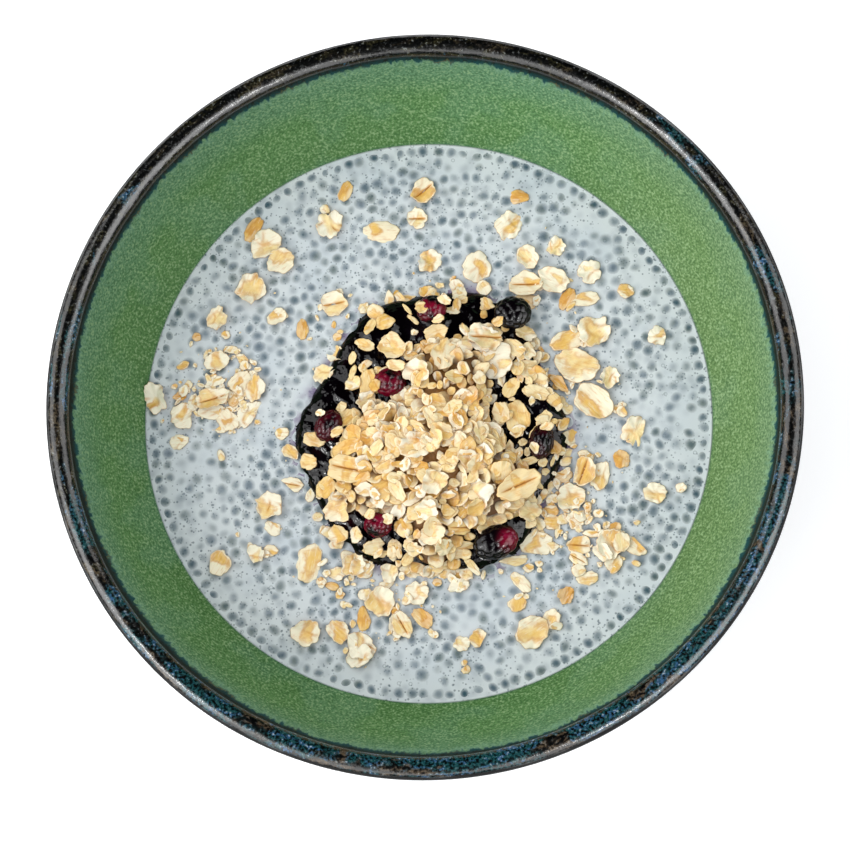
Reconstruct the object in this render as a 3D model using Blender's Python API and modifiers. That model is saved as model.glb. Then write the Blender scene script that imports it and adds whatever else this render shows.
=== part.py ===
"""Chia pudding in a glazed stoneware bowl, topped with berry compote and rolled oats.

Metres, +Z up. The origin is the middle of the foot's resting face, and +Y points to the far
side of the bowl as it is looked down on. Run it with blender --background --python part.py.
"""

import math

import bmesh
import bpy
import numpy as np
from mathutils import Matrix, Vector

MM = 0.001
CREASE = math.radians(40)
HALVING = 1e-5

# The bowl: its inner and outer walls are quarter ellipses, drawn in towards a cone by a power.
RIM_RADIUS = 85 * MM
BOWL_HEIGHT = 64 * MM
LIP_THICKNESS = 4.7 * MM
LIP_HEIGHT = BOWL_HEIGHT - LIP_THICKNESS / 2
INNER_RADIUS = RIM_RADIUS - LIP_THICKNESS
INNER_DEPTH = 53.4 * MM
INNER_POWER = 1.65
FLOOR_THICKNESS = 5.5 * MM
OUTER_DEPTH = INNER_DEPTH + FLOOR_THICKNESS
OUTER_POWER = 1.85
FOOT_RADIUS = 34 * MM
FOOT_WIDTH = 5 * MM
FOOT_EDGE = 0.8 * MM
STEPS = 48
LOWER_POINTS = 6
UPPER_POINTS = 5
OUTER_POINTS = 8
LIP_POINTS = 5

# The pudding, filled to a level below the rim.
LEVEL = BOWL_HEIGHT - 28.7 * MM
GAP = 0.3 * MM
MENISCUS = 0.5 * MM
MENISCUS_WIDTH = 1.6 * MM

# The pool of compote: its outline is given by radii at equal turns from +X, round its middle.
COMPOTE_MIDDLE = Vector((1.1 * MM, -3.5 * MM))
COMPOTE_RADII = [r * MM for r in (32, 29.9, 35.7, 33.2, 32.6, 28.8, 32.2, 31.4, 33.9, 32, 34.9, 30.5)]
COMPOTE_HEIGHT = 3.6 * MM
COMPOTE_STEPS = 36
COMPOTE_RINGS = 12
COMPOTE_POWER = 8
DIPS = 0.6 * MM
DIP_WAVES = (0.42 / MM, 0.38 / MM)

# Berries and loose flakes are listed where they are seen from above, at one scale and measured
# from the middle of the pudding's outline. The view's tilt, turn, distance and shift (mm) are
# what as_it_lies needs to tell where they lie.
VIEW_TILT, VIEW_TURN = math.radians(79.74), math.radians(13.5)
VIEW_DISTANCE = 549.5
VIEW_SHIFT = Vector((0.57, -1.68))


def as_it_lies(x, y):
    """The place (mm) of what is seen at (x, y): where its line of sight meets the pudding's top,
    which two linear equations tell. Things in front look larger and are seen further out."""
    level = math.cos(VIEW_TILT)
    back = Vector((math.sin(VIEW_TURN) * level, -math.cos(VIEW_TURN) * level, math.sin(VIEW_TILT)))
    right = Vector((0, 1, 0)).cross(back).normalized()
    up = back.cross(right)
    seen = Vector((x, y)) + VIEW_SHIFT
    rows = [axis.xy + part / VIEW_DISTANCE * back.xy for axis, part in zip((right, up), seen)]
    return Matrix(rows).inverted() @ seen


# The berries that show, sunk in the compote: name, x, y, length, width (mm) and turn (degrees).
BERRIES = [
    ("berry_far_right", 19.5, 25.6, 9, 8, 0),
    ("berry_far_middle", 0.5, 26.4, 7.4, 6.8, 20),
    ("berry_inner", -9.2, 9.4, 8, 7, 10),
    ("berry_left", -23.5, -0.8, 8, 6.5, 60),
    ("berry_near_right", 15.5, -28, 11, 8, 20),
    ("berry_near_left", -12, -24, 6.8, 6, 0),
    ("berry_right", 26.2, -4.5, 8.5, 6, 80),
]
BERRIES = [(name, *as_it_lies(x, y), *size) for name, x, y, *size in BERRIES]
BERRY_TOP = 5.6 * MM
BERRY_BED = 0.9 * MM
BERRY_STEPS = 12
BERRY_RINGS = 6

# The heap of oats on the compote, with its outline given as the compote's is.
HEAP_MIDDLE = Vector((0.6 * MM, -7.4 * MM))
HEAP_RADII = [r * MM for r in (22, 17, 26, 25, 12, 19, 22, 26, 18, 29, 22, 26)]
HEAP_BASE = LEVEL + 2 * GAP + COMPOTE_HEIGHT
HEAP_HEIGHT = 5.2 * MM
HEAP_STEPS = 24
HEAP_RINGS = 8
HEAP_POWER = 2
HEAP_FLAKES = 88
HEAP_SEED = 1
HEAP_LEAN = 0.35
HEAP_TIP = math.radians(20)
SMALLEST_FLAKE = 4.5 * MM
LARGEST_INSIDE = 6.5 * MM
LARGEST_OUTSIDE = 9 * MM
NARROWEST, WIDEST = 0.7, 0.95

# An oat flake: a thin wavy disc with a ragged edge.
SMALL_FLAKE = 6 * MM
SMALL_SIDES = 6
LARGE_SIDES = 7
FLAKE_THICKNESS = 0.9 * MM
EDGE_SHARE = 0.75
RAGGED = 0.065
BEND = 0.08
GOLDEN_TURN = math.pi * (3 - math.sqrt(5))

# A loose flake lies on the compote within this share of its outline, and else on the pudding,
# sunk in by some of its edge and shifted in steps until it is clear of what stands beside it.
ON_COMPOTE, CLEAR = 0.97, 1.03
LOOSE_TIP = 0.12
LOOSE_RAISE = 0.25 * MM
LOOSE_SEED = 5
SHIFT = 0.3 * MM
MOST_SHIFTS = 40

# The larger loose flakes, as they lie: x, y, length and width (mm) and turn (degrees).
LOOSE_FLAKES = [
    (-15, 18.3, 4.8, 3, -20), (-8.5, 17.8, 7, 6, 0), (-10.4, 23.9, 5.5, 4, 20),
    (-22, 16.5, 4.6, 4.4, 0), (-24.7, 12.1, 5.6, 4.8, 30), (-27, -3.9, 5.5, 3.6, -20),
    (-28.2, -9, 4.2, 4, 0), (-21.3, -25.7, 5.2, 4.6, 0), (19.1, 8.1, 5.6, 3.4, 60),
    (25.1, 7.2, 6, 3.6, -20), (20.5, 1.2, 8, 6, -80), (26.5, 1.4, 4.4, 3.4, 0),
    (23.2, 12.7, 5.2, 4.6, 0), (22.3, 21, 5, 4.6, 0), (13.4, 27.6, 4.8, 3.4, -50),
    (7, 30.4, 4.6, 3.4, 70), (-5.5, 29.6, 5, 3.8, 0), (27.6, -15.1, 5, 4, 30),
    (-20, 55, 4.5, 4, 70), (-1.5, 55, 6.5, 5.5, 40), (-23.5, 47, 7, 6, 80), (-3, 48.5, 5, 5, 0),
    (-11.5, 45.5, 9, 5.2, 0), (-41.5, 46, 7, 4, 60), (-38.5, 42.5, 7.5, 7, 20),
    (-35, 38.5, 7, 6, 45), (-42, 32, 8, 6.5, 70), (-22.5, 28.5, 6.4, 6, 10),
    (-36, 25.5, 5, 4, 20), (-30, 22.5, 5, 3, 90), (-50, 25, 6, 4.5, 60), (-50, 15, 6, 4.8, 0),
    (-63.5, 7, 7, 6, 60), (-57.5, 2, 7, 6.5, 30), (-51, 6, 8, 5.5, 20), (-50, 1.5, 8, 5, 5),
    (-44.5, 10, 6, 5, 50), (-41, 8.5, 6.5, 4.5, 80), (-43, 2.5, 7.5, 4.5, 50), (-59, -4, 4.5, 4, 0),
    (-35, -9, 4.5, 4.5, 0), (-32.5, -14, 5.5, 3.6, -10), (-37.5, -19, 7.5, 6, -15),
    (-49.5, -32.5, 6, 5.5, 60), (-39.5, -31, 5, 4.5, 30), (-28, -32.5, 9, 7.5, 80),
    (-18, -33, 6, 5.5, 10), (-11.5, -41.5, 7.5, 6.5, 60), (-15.5, -45.5, 6, 3.4, 85),
    (-29, -49, 6.8, 6.2, 20), (-21.5, -48.5, 6, 5, -40), (-16.5, -52, 7.5, 6.5, -45),
    (-6.5, -47, 6.5, 4.5, -60), (-2, -42, 6, 5.5, 0), (9, -51.5, 4.8, 4.5, 0), (24, -49, 8.5, 7.5, 30),
    (28.5, -45.5, 4.5, 4, 60), (20.5, -41.5, 5, 4.5, 80), (32, -40, 4.5, 3.6, 60),
    (37, -36, 5.5, 3.2, 0), (36, -29, 7, 6.5, -10), (42.5, -28, 7.5, 6.5, 70),
    (48.5, -28.5, 6, 4, -30), (25, -28.5, 7.5, 7, 20), (33, -17, 6.8, 6.4, 0),
    (36, -11, 7.5, 6, 70), (40, -12, 7, 4.5, 80), (45, -8, 4.5, 4, 80), (53, -16, 5.5, 5.2, 0),
    (48.5, -1.5, 7.5, 6.8, 70), (38.5, 5.5, 10, 7.6, -45), (34.5, 14, 11, 8, -15),
    (32, 19.5, 8, 5.5, 20), (38.5, 22, 8, 7.5, 50), (53.5, 21, 4.8, 4.5, 0),
    (37.5, 36, 6, 5.5, 45), (29, 34, 8, 6, -25), (22.5, 33, 8, 6, 0), (23, 39.5, 5.8, 5.2, -50),
    (29.5, 42, 5, 4.6, 0), (18.5, 47, 7, 6.5, 40), (21, 53.5, 4.5, 4, 0), (11, 37, 7.5, 7, 60),
    (0, 38.5, 6, 5.5, 20), (46, 31.5, 4, 3.6, 0),
]
LOOSE_FLAKES = [(*as_it_lies(x, y), *size) for x, y, *size in LOOSE_FLAKES]


def collection_of(name):
    """A new collection in the scene."""
    made = bpy.data.collections.new(name)
    bpy.context.scene.collection.children.link(made)
    return made


def finish_of(name, colour, roughness):
    """A Principled material of one colour, given as linear red, green and blue."""
    made = bpy.data.materials.new(name)
    made.use_nodes = True
    shader = made.node_tree.nodes["Principled BSDF"]
    shader.inputs["Base Color"].default_value = (*colour, 1)
    shader.inputs["Roughness"].default_value = roughness
    shader.inputs["Metallic"].default_value = 0
    return made


def object_of(name, mesh, collection, material=None):
    """A new object that shows a mesh, in a collection."""
    made = bpy.data.objects.new(name, mesh)
    collection.objects.link(made)
    if material:
        mesh.materials.append(material)
    return made


def mesh_from(bm, name):
    """The mesh of a bmesh, which is freed."""
    mesh = bpy.data.meshes.new(name)
    bm.to_mesh(mesh)
    bm.free()
    return mesh


def shade_round(mesh):
    """Smooth shading, apart from edges sharper than a crease."""
    mesh.shade_smooth()
    mesh.set_sharp_from_angle(angle=CREASE)


def wall(radius, depth, power, turn):
    """(r, z) of a bowl wall, with turn from 0 at the middle of its floor to a quarter turn."""
    return radius * math.sin(turn), LIP_HEIGHT - depth * math.cos(turn) ** (2 / power)


def inner_radius(z, clearance=0.0):
    """The bowl's inner radius at a height, less a clearance measured level."""
    rise = min(1.0, max(0.0, (LIP_HEIGHT - z) / INNER_DEPTH))
    return INNER_RADIUS * math.sqrt(1 - rise**INNER_POWER) - clearance


EDGE_TURN = math.asin(inner_radius(LEVEL + MENISCUS) / INNER_RADIUS)


def outline(radii, turn):
    """The radius at a turn of an outline given at equal turns, on a smooth closed curve."""
    place = (turn / math.tau % 1) * len(radii)
    first = int(place)
    share = place - first
    a, b, c, d = (radii[(first + step) % len(radii)] for step in (-1, 0, 1, 2))
    bend = 2 * a - 5 * b + 4 * c - d + share * (3 * (b - c) + d - a)
    return b + 0.5 * share * (c - a + share * bend)


def reach(point, middle, radii):
    """How far out a level point lies in an outline: 0 at its middle and 1 on its edge."""
    away = Vector(point[:2]) - middle
    return away.length / outline(radii, math.atan2(away.y, away.x))


def turned(name, profile, collection, material):
    """An object turned from a profile of (r, z) pairs that runs down its outer side."""
    mesh = bpy.data.meshes.new(name)
    edges = [(i, i + 1) for i in range(len(profile) - 1)]
    mesh.from_pydata([(r, 0, z) for r, z in profile], edges, [])
    made = object_of(name, mesh, collection, material)
    screw = made.modifiers.new("Turn", "SCREW")
    screw.steps = STEPS
    screw.render_steps = STEPS
    screw.use_merge_vertices = True
    screw.merge_threshold = 0.02 * MM
    return made


def applied(obj):
    """The object with its modifiers applied to its mesh."""
    graph = bpy.context.evaluated_depsgraph_get()
    mesh = bpy.data.meshes.new_from_object(obj.evaluated_get(graph))
    obj.modifiers.clear()
    obj.data = mesh
    return obj


def whole_body(obj):
    """Keeps the largest closed body of a mesh, so that sealed hollows and scraps go."""
    bm = bmesh.new()
    bm.from_mesh(obj.data)
    bodies, seen = [], set()
    for start in bm.faces:
        if start in seen:
            continue
        body, edge_of_body = {start}, [start]
        while edge_of_body:
            face = edge_of_body.pop()
            beside = {f for edge in face.edges for f in edge.link_faces} - body
            body |= beside
            edge_of_body += beside
        seen |= body
        bodies.append(body)
    largest = max(bodies, key=len)
    bmesh.ops.delete(bm, geom=[f for f in bm.faces if f not in largest], context="FACES")
    bm.to_mesh(obj.data)
    bm.free()


def fused(obj, pieces, operation="UNION"):
    """Joins a collection of pieces to an object, or cuts them from it, and removes them."""
    boolean = obj.modifiers.new("Fuse", "BOOLEAN")
    boolean.operation = operation
    boolean.operand_type = "COLLECTION"
    boolean.collection = pieces
    boolean.solver = "MANIFOLD"
    applied(obj)
    for piece in list(pieces.objects):
        bpy.data.objects.remove(piece)
    bpy.data.collections.remove(pieces)
    whole_body(obj)


def bowl(collection, material):
    """Inside wall, round lip, outside wall, foot ring and recess, as one turned solid."""
    quarter = math.pi / 2
    turns = [EDGE_TURN * i / LOWER_POINTS for i in range(LOWER_POINTS + 1)]
    turns += [EDGE_TURN + (quarter - EDGE_TURN) * i / UPPER_POINTS for i in range(1, UPPER_POINTS + 1)]
    inside = [wall(INNER_RADIUS, INNER_DEPTH, INNER_POWER, turn) for turn in turns]
    half = LIP_THICKNESS / 2
    lip = [
        (INNER_RADIUS + half - half * math.cos(turn), LIP_HEIGHT + half * math.sin(turn))
        for turn in (math.pi * i / (LIP_POINTS + 1) for i in range(1, LIP_POINTS + 1))
    ]
    foot_turn = math.asin((FOOT_RADIUS + FOOT_EDGE) / RIM_RADIUS)
    outside = [
        wall(RIM_RADIUS, OUTER_DEPTH, OUTER_POWER, quarter + (foot_turn - quarter) * i / OUTER_POINTS)
        for i in range(OUTER_POINTS + 1)
    ]
    recess = LIP_HEIGHT - OUTER_DEPTH
    inner_foot = FOOT_RADIUS - FOOT_WIDTH
    foot = [
        (FOOT_RADIUS, outside[-1][1] - 2 * FOOT_EDGE),
        (FOOT_RADIUS, FOOT_EDGE),
        (FOOT_RADIUS - FOOT_EDGE, 0),
        (inner_foot + FOOT_EDGE, 0),
        (inner_foot, FOOT_EDGE),
        (inner_foot - FOOT_EDGE, recess),
        (0, recess),
    ]
    return applied(turned("bowl", inside + lip + outside + foot, collection, material))


def pudding(collection, material):
    """The pudding's body, level on top with its edge drawn a little up the wall."""
    edge = inner_radius(LEVEL + MENISCUS, GAP)
    surface = [(0, LEVEL), (edge - MENISCUS_WIDTH, LEVEL)]
    side = [
        wall(INNER_RADIUS - GAP, INNER_DEPTH - GAP, INNER_POWER, EDGE_TURN * (1 - i / LOWER_POINTS))
        for i in range(LOWER_POINTS + 1)
    ]
    return applied(turned("pudding", surface + side, collection, material))


def mound(name, middle, radii, base, height, power, steps, rings, collection, material, dips=0.0):
    """A low mound on a flat base: the upper half of a ball, spread out to an outline."""
    bm = bmesh.new()
    bmesh.ops.create_uvsphere(bm, u_segments=steps, v_segments=rings, radius=1)
    bmesh.ops.bisect_plane(
        bm, geom=[*bm.verts, *bm.edges, *bm.faces], dist=HALVING, plane_co=(0, 0, 0),
        plane_no=(0, 0, 1), clear_inner=True,
    )
    bmesh.ops.contextual_create(bm, geom=[edge for edge in bm.edges if edge.is_boundary])
    for vertex in bm.verts:
        x, y, _ = vertex.co
        out, turn = min(1.0, math.hypot(x, y)), math.atan2(y, x)
        edge = outline(radii, turn)
        vertex.co.x = middle.x + out * edge * math.cos(turn)
        vertex.co.y = middle.y + out * edge * math.sin(turn)
        rise = math.sqrt(max(0.0, 1 - out**power))
        wave = math.sin(DIP_WAVES[0] * vertex.co.x) * math.cos(DIP_WAVES[1] * vertex.co.y)
        vertex.co.z = base + rise * (height - dips * (1 + wave) / 2)
    bmesh.ops.recalc_face_normals(bm, faces=bm.faces)
    return object_of(name, mesh_from(bm, name), collection, material)


def ball(name, x, y, length, width, turn, grow, collection, material=None):
    """A berry as a squashed ball on its bed, larger all round by grow."""
    half = Vector((length * MM, width * MM, BERRY_TOP)) / 2
    bm = bmesh.new()
    bmesh.ops.create_uvsphere(bm, u_segments=BERRY_STEPS, v_segments=BERRY_RINGS, radius=1)
    made = object_of(name, mesh_from(bm, name), collection, material)
    place = Matrix.Translation((x * MM, y * MM, LEVEL + GAP + BERRY_BED + half.z))
    spin = Matrix.Rotation(math.radians(turn), 4, "Z")
    size = Matrix.Diagonal((half.x + grow, half.y + grow, half.z + grow, 1))
    made.data.transform(place @ spin @ size)
    shade_round(made.data)
    return made


def flake_points(bm, length, width, draw):
    """Shapes a short cylinder into a flake: a ragged oval, bent two ways."""
    second, third = draw.uniform(0, math.tau, 2)
    along, across = draw.uniform(-BEND, BEND, 2) * width
    for vertex in bm.verts:
        x, y, z = vertex.co
        turn = math.atan2(y, x)
        ragged = 1 + RAGGED * (math.cos(2 * turn + second) + math.cos(3 * turn + third))
        vertex.co.x = x * ragged * length / 2
        vertex.co.y = y * ragged * width / 2
        share = EDGE_SHARE if math.hypot(x, y) > 0.5 else 1
        vertex.co.z = z * share * FLAKE_THICKNESS + along * x * x + across * y * y


def flake(place, length, width, turn, lean, draw, collection):
    """One flake, turned about +Z and then leaned by a rotation."""
    sides = SMALL_SIDES if length < SMALL_FLAKE else LARGE_SIDES
    bm = bmesh.new()
    bmesh.ops.create_cone(
        bm, cap_ends=True, cap_tris=True, segments=sides, radius1=1, radius2=1, depth=1
    )
    flake_points(bm, length, width, draw)
    made = object_of("flake", mesh_from(bm, "flake"), collection)
    spin = Matrix.Rotation(turn, 4, "Z")
    made.data.transform(Matrix.Translation(place) @ lean.to_4x4() @ spin)
    return made


def heap_top(x, y):
    """The height of the heap's core at a level point."""
    out = min(1.0, reach((x, y), HEAP_MIDDLE, HEAP_RADII))
    return HEAP_BASE + HEAP_HEIGHT * math.sqrt(1 - out**HEAP_POWER)


def lift_clear(piece, base):
    """Raises a flake until all of it is above a height."""
    sunk = base - min(vertex.co.z for vertex in piece.data.vertices)
    if sunk > 0:
        piece.data.transform(Matrix.Translation((0, 0, sunk)))


def crowded(x, y, size):
    """Whether a level circle comes over a berry or a flake that lies on the compote."""
    others = [shape[1:4] for shape in BERRIES] + [shape[:3] for shape in LOOSE_FLAKES if on_compote(shape)]
    return any(
        math.hypot(x - ox * MM, y - oy * MM) < (size + length * MM) / 2 + GAP for ox, oy, length in others
    )


def on_compote(shape):
    """Whether a loose flake lies on the compote, and not on the pudding."""
    return reach((shape[0] * MM, shape[1] * MM), COMPOTE_MIDDLE, COMPOTE_RADII) < ON_COMPOTE


def heap(collection, material):
    """The heap of oats: a low core with flakes laid over it like tiles, on a spiral."""
    core = mound(
        "oat_heap", HEAP_MIDDLE, HEAP_RADII, HEAP_BASE, HEAP_HEIGHT, HEAP_POWER, HEAP_STEPS, HEAP_RINGS,
        collection, material,
    )
    draw = np.random.default_rng(HEAP_SEED)
    pieces = collection_of("Heap flakes")
    for number in range(HEAP_FLAKES):
        turn = number * GOLDEN_TURN
        out = math.sqrt((number + 0.5) / HEAP_FLAKES)
        edge = outline(HEAP_RADII, turn)
        x = HEAP_MIDDLE.x + out * edge * math.cos(turn)
        y = HEAP_MIDDLE.y + out * edge * math.sin(turn)
        largest = LARGEST_INSIDE + (LARGEST_OUTSIDE - LARGEST_INSIDE) * out
        length = draw.uniform(SMALLEST_FLAKE, largest)
        width = length * draw.uniform(NARROWEST, WIDEST)
        spin, tip, tip_turn = draw.uniform(0, 1, 3) * (math.tau, HEAP_TIP, math.tau)
        if crowded(x, y, length):
            continue
        normal = Vector((math.cos(turn), math.sin(turn), 0)) * out * HEAP_LEAN
        normal += Vector((math.cos(tip_turn), math.sin(tip_turn), 0)) * math.sin(tip)
        lean = Vector((0, 0, 1)).rotation_difference(normal + Vector((0, 0, 1))).to_matrix()
        piece = flake(Vector((x, y, heap_top(x, y) + GAP)), length, width, spin, lean, draw, pieces)
        lift_clear(piece, HEAP_BASE + GAP / 3)
    fused(core, pieces)


def settled(piece, wet):
    """Shifts a loose flake until it is clear, on the compote of the heap, or on the pudding of
    the bowl and the compote. It says whether such a place was found."""
    middle, radii = (HEAP_MIDDLE, HEAP_RADII) if wet else (COMPOTE_MIDDLE, COMPOTE_RADII)
    for _ in range(MOST_SHIFTS):
        points = [vertex.co for vertex in piece.data.vertices]
        centre = sum(points, Vector()) / len(points)
        outward = (centre.to_2d() - middle).normalized().to_3d()
        if max(math.hypot(p.x, p.y) - inner_radius(p.z, 2 * GAP) for p in points) > 0:
            outward.negate()
        elif min(reach(p, middle, radii) for p in points) > CLEAR:
            return True
        piece.data.transform(Matrix.Translation(outward * SHIFT))
    return False


def loose_flakes():
    """The loose flakes, each in the collection of what carries it: the pudding or the compote."""
    pudding_flakes, compote_flakes = collection_of("On pudding"), collection_of("On compote")
    draw = np.random.default_rng(LOOSE_SEED)
    for shape in LOOSE_FLAKES:
        x, y, length, width = (value * MM for value in shape[:4])
        tip = draw.uniform(-1, 1, 2) * LOOSE_TIP
        lean = Vector((0, 0, 1)).rotation_difference(Vector((*tip, 1))).to_matrix()
        wet = on_compote(shape)
        place = Vector((x, y, LEVEL + LOOSE_RAISE + (GAP + COMPOTE_HEIGHT if wet else 0)))
        carrier = compote_flakes if wet else pudding_flakes
        piece = flake(place, length, width, math.radians(shape[4]), lean, draw, carrier)
        if not settled(piece, wet):
            bpy.data.objects.remove(piece)
    return pudding_flakes, compote_flakes


def main():
    for obj in list(bpy.data.objects):
        bpy.data.objects.remove(obj)
    parts = collection_of("Chia pudding")
    glaze = finish_of("Green and black glaze", (0.12, 0.22, 0.1), 0.3)
    milk = finish_of("Chia milk", (0.62, 0.68, 0.72), 0.35)
    jam = finish_of("Berry compote", (0.03, 0.006, 0.015), 0.1)
    fruit = finish_of("Cooked berries", (0.12, 0.008, 0.025), 0.15)
    oats = finish_of("Rolled oats", (0.82, 0.66, 0.4), 0.7)
    shade_round(bowl(parts, glaze).data)
    pudding_flakes, compote_flakes = loose_flakes()
    filling = pudding(parts, milk)
    fused(filling, pudding_flakes)
    filling.data.shade_flat()
    pool = mound(
        "compote", COMPOTE_MIDDLE, COMPOTE_RADII, LEVEL + GAP, COMPOTE_HEIGHT, COMPOTE_POWER,
        COMPOTE_STEPS, COMPOTE_RINGS, parts, jam, DIPS,
    )
    fused(pool, compote_flakes)
    pockets = collection_of("Pockets")
    for name, *shape in BERRIES:
        ball(name, *shape, 0.0, parts, fruit)
        ball("pocket", *shape, GAP, pockets)
    fused(pool, pockets, "DIFFERENCE")
    heap(parts, oats)


main()
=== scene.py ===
# %% [markdown]
# # A bowl of chia pudding
#
# This lesson dresses a plain solid model of a breakfast bowl: a glazed stoneware bowl, pudding
# full of soaked chia seeds, a pool of berry compote, cooked berries and a heap of rolled oats.
# The solid model gives every size and place, so the first step loads it and keeps its box.

# %% Load the frame
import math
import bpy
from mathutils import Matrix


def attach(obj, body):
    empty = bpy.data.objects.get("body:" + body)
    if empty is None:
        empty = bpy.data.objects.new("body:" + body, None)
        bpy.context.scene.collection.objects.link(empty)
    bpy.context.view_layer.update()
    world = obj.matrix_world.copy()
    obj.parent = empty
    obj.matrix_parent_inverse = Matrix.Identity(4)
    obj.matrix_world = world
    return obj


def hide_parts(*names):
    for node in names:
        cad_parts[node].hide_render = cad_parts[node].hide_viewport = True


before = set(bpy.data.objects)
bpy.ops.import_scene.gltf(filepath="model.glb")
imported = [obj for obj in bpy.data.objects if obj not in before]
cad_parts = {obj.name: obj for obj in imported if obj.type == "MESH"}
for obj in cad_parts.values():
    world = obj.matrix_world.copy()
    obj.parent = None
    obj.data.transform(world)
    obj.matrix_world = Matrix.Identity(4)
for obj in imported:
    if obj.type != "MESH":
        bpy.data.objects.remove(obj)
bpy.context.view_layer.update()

# %% Tools and units
from types import SimpleNamespace

import bpy
import numpy as np
from mathutils import Matrix, Vector

MM = 0.001
TAU = math.tau


def mixed_range(low, high, share):
    """The number at a share of the way from low to high."""
    return low + (high - low) * share


print("solids:", ", ".join(sorted(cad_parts)))

# %% [markdown]
# ## Sizes that the solids share
#
# The bowl was turned on a wheel, so its inner wall is one curve of radius against height. As a
# function, that curve can be followed by the glaze, the pudding and the seeds at its edge.
# Every length below is in millimetres, and turns into metres only when a mesh is made.

# %% The bowl's sizes
RIM = 85.0
HEIGHT = 64.0
LIP = 4.7
LIP_LEVEL = HEIGHT - LIP / 2
INNER, INNER_DEPTH, INNER_POWER = RIM - LIP, 53.4, 1.65
OUTER_DEPTH, OUTER_POWER = 58.9, 1.85
FOOT, FOOT_WIDTH, FOOT_EDGE, RECESS = 34.0, 5.0, 0.8, 2.75
LEVEL = HEIGHT - 28.7
MENISCUS = 0.15


def wall(radius, depth, power, turn):
    """Radius and height of a wall at a turn from the middle of its floor (0) to its lip (a
    quarter turn): the radius goes as the turn's sine, and the depth as its cosine to a power."""
    return radius * np.sin(turn), LIP_LEVEL - depth * np.abs(np.cos(turn)) ** (2 / power)


def wall_radius(z):
    """Inner radius at a height, which is the same curve solved for the radius."""
    share = np.clip((LIP_LEVEL - z) / INNER_DEPTH, 0, 1)
    return INNER * np.sqrt(1 - share**INNER_POWER)


EDGE = float(wall_radius(LEVEL + MENISCUS))
print(f"the pudding is {2 * EDGE:.1f} mm across and {HEIGHT - LEVEL:.1f} mm below the rim")

# %% [markdown]
# ## Closed rings: one way to make every mesh
#
# A bowl, a berry, a seed and an oat flake are all closed shapes. Each can be drawn as rings of
# points between two poles, as a globe is drawn with parallels. numpy works out all rings of all
# copies of a shape at once, so hundreds of flakes cost no more code than one bowl.


# %% Faces between rings
def ring_faces(count, rings, columns):
    """Quads between neighbouring rings and triangles at both poles. Each of count copies has its
    rings' points in order and then its two poles."""
    start = (np.arange(count) * (rings * columns + 2))[:, None, None]
    row, column = np.divmod(np.arange((rings - 1) * columns), columns)
    here, beside = row * columns + column, row * columns + (column + 1) % columns
    quads = np.stack([here, beside, beside + columns, here + columns], -1)
    around = np.arange(columns)
    ahead = (around + 1) % columns
    last, pole = (rings - 1) * columns, np.full(columns, rings * columns)
    first_cap = np.stack([ahead, around, pole], -1)
    last_cap = np.stack([last + around, last + ahead, pole + 1], -1)
    triangles = np.concatenate([first_cap, last_cap])
    return (start + quads).reshape(-1, 4), (start + triangles).reshape(-1, 3)


def signed_volume(points, quads, triangles):
    """The volume inside the faces, which is a sixth of the sum of the triple products of all
    triangles' corners. It is negative where the faces point inwards."""
    corners = np.concatenate([quads[:, [0, 1, 2]], quads[:, [0, 2, 3]], triangles])
    a, b, c = (points[corners[:, i]] for i in range(3))
    return float(np.einsum("ij,ij->i", a, np.cross(b, c)).sum() / 6)


# %% Rings to a piece
def in_order(rings, first, last):
    """Numbers on rings (copies, rings, columns, parts) and on the two poles (copies, parts), in
    the order of the mesh's points."""
    count, parts = rings.shape[0], rings.shape[3]
    poles = [pole.reshape(count, 1, parts) for pole in (first, last)]
    return np.concatenate([rings.reshape(count, -1, parts), *poles], 1).reshape(-1, parts)


def one_each(numbers, size):
    """One number for each copy, or one for them all, as it stands on rings and poles. The size
    is how many copies, rings and columns there are."""
    numbers = np.broadcast_to(np.asarray(numbers, float), size[:1])
    at_pole = numbers[:, None]
    return np.broadcast_to(numbers[:, None, None, None], (*size, 1)), at_pole, at_pole


def rings_piece(name, shape, material, values=None):
    """A piece of the object from (rings, first pole, last pole) in millimetres. values names the
    numbers that the material reads at each point, in the same three arrays."""
    count, rings, columns, _ = shape[0].shape
    where = in_order(*shape) * MM
    quads, triangles = ring_faces(count, rings, columns)
    if signed_volume(where, quads, triangles) < 0:
        quads, triangles = quads[:, ::-1], triangles[:, ::-1]
    mesh = bpy.data.meshes.new(name)
    mesh.vertices.add(len(where))
    mesh.vertices.foreach_set("co", where.astype(np.float32).ravel())
    corners = np.concatenate([quads.ravel(), triangles.ravel()]).astype(np.int32)
    mesh.loops.add(len(corners))
    mesh.loops.foreach_set("vertex_index", corners)
    starts = np.concatenate([np.arange(len(quads)) * 4, quads.size + np.arange(len(triangles)) * 3])
    mesh.polygons.add(len(starts))
    mesh.polygons.foreach_set("loop_start", starts.astype(np.int32))
    mesh.update(calc_edges=True)
    mesh.shade_smooth()
    for label, numbers in (values or {}).items():
        stored = mesh.attributes.new(label, "FLOAT", "POINT")
        stored.data.foreach_set("value", in_order(*numbers).astype(np.float32).ravel())
    mesh.materials.append(material)
    piece = bpy.data.objects.new(name, mesh)
    bpy.context.scene.collection.objects.link(piece)
    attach(piece, "root")
    print(f"{name}: {count} shape(s), {2 * len(quads) + len(triangles)} triangles")
    return piece


# %% [markdown]
# ## Shader sums as Python
#
# A material is a network of nodes, and drawing one by hand is slow to read. The class below wraps
# the output of a node, so that ordinary sums such as 1 - mask add the Math nodes, and one method
# adds any other node. A mask is a number from 0 to 1 that says where something shows.


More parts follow.
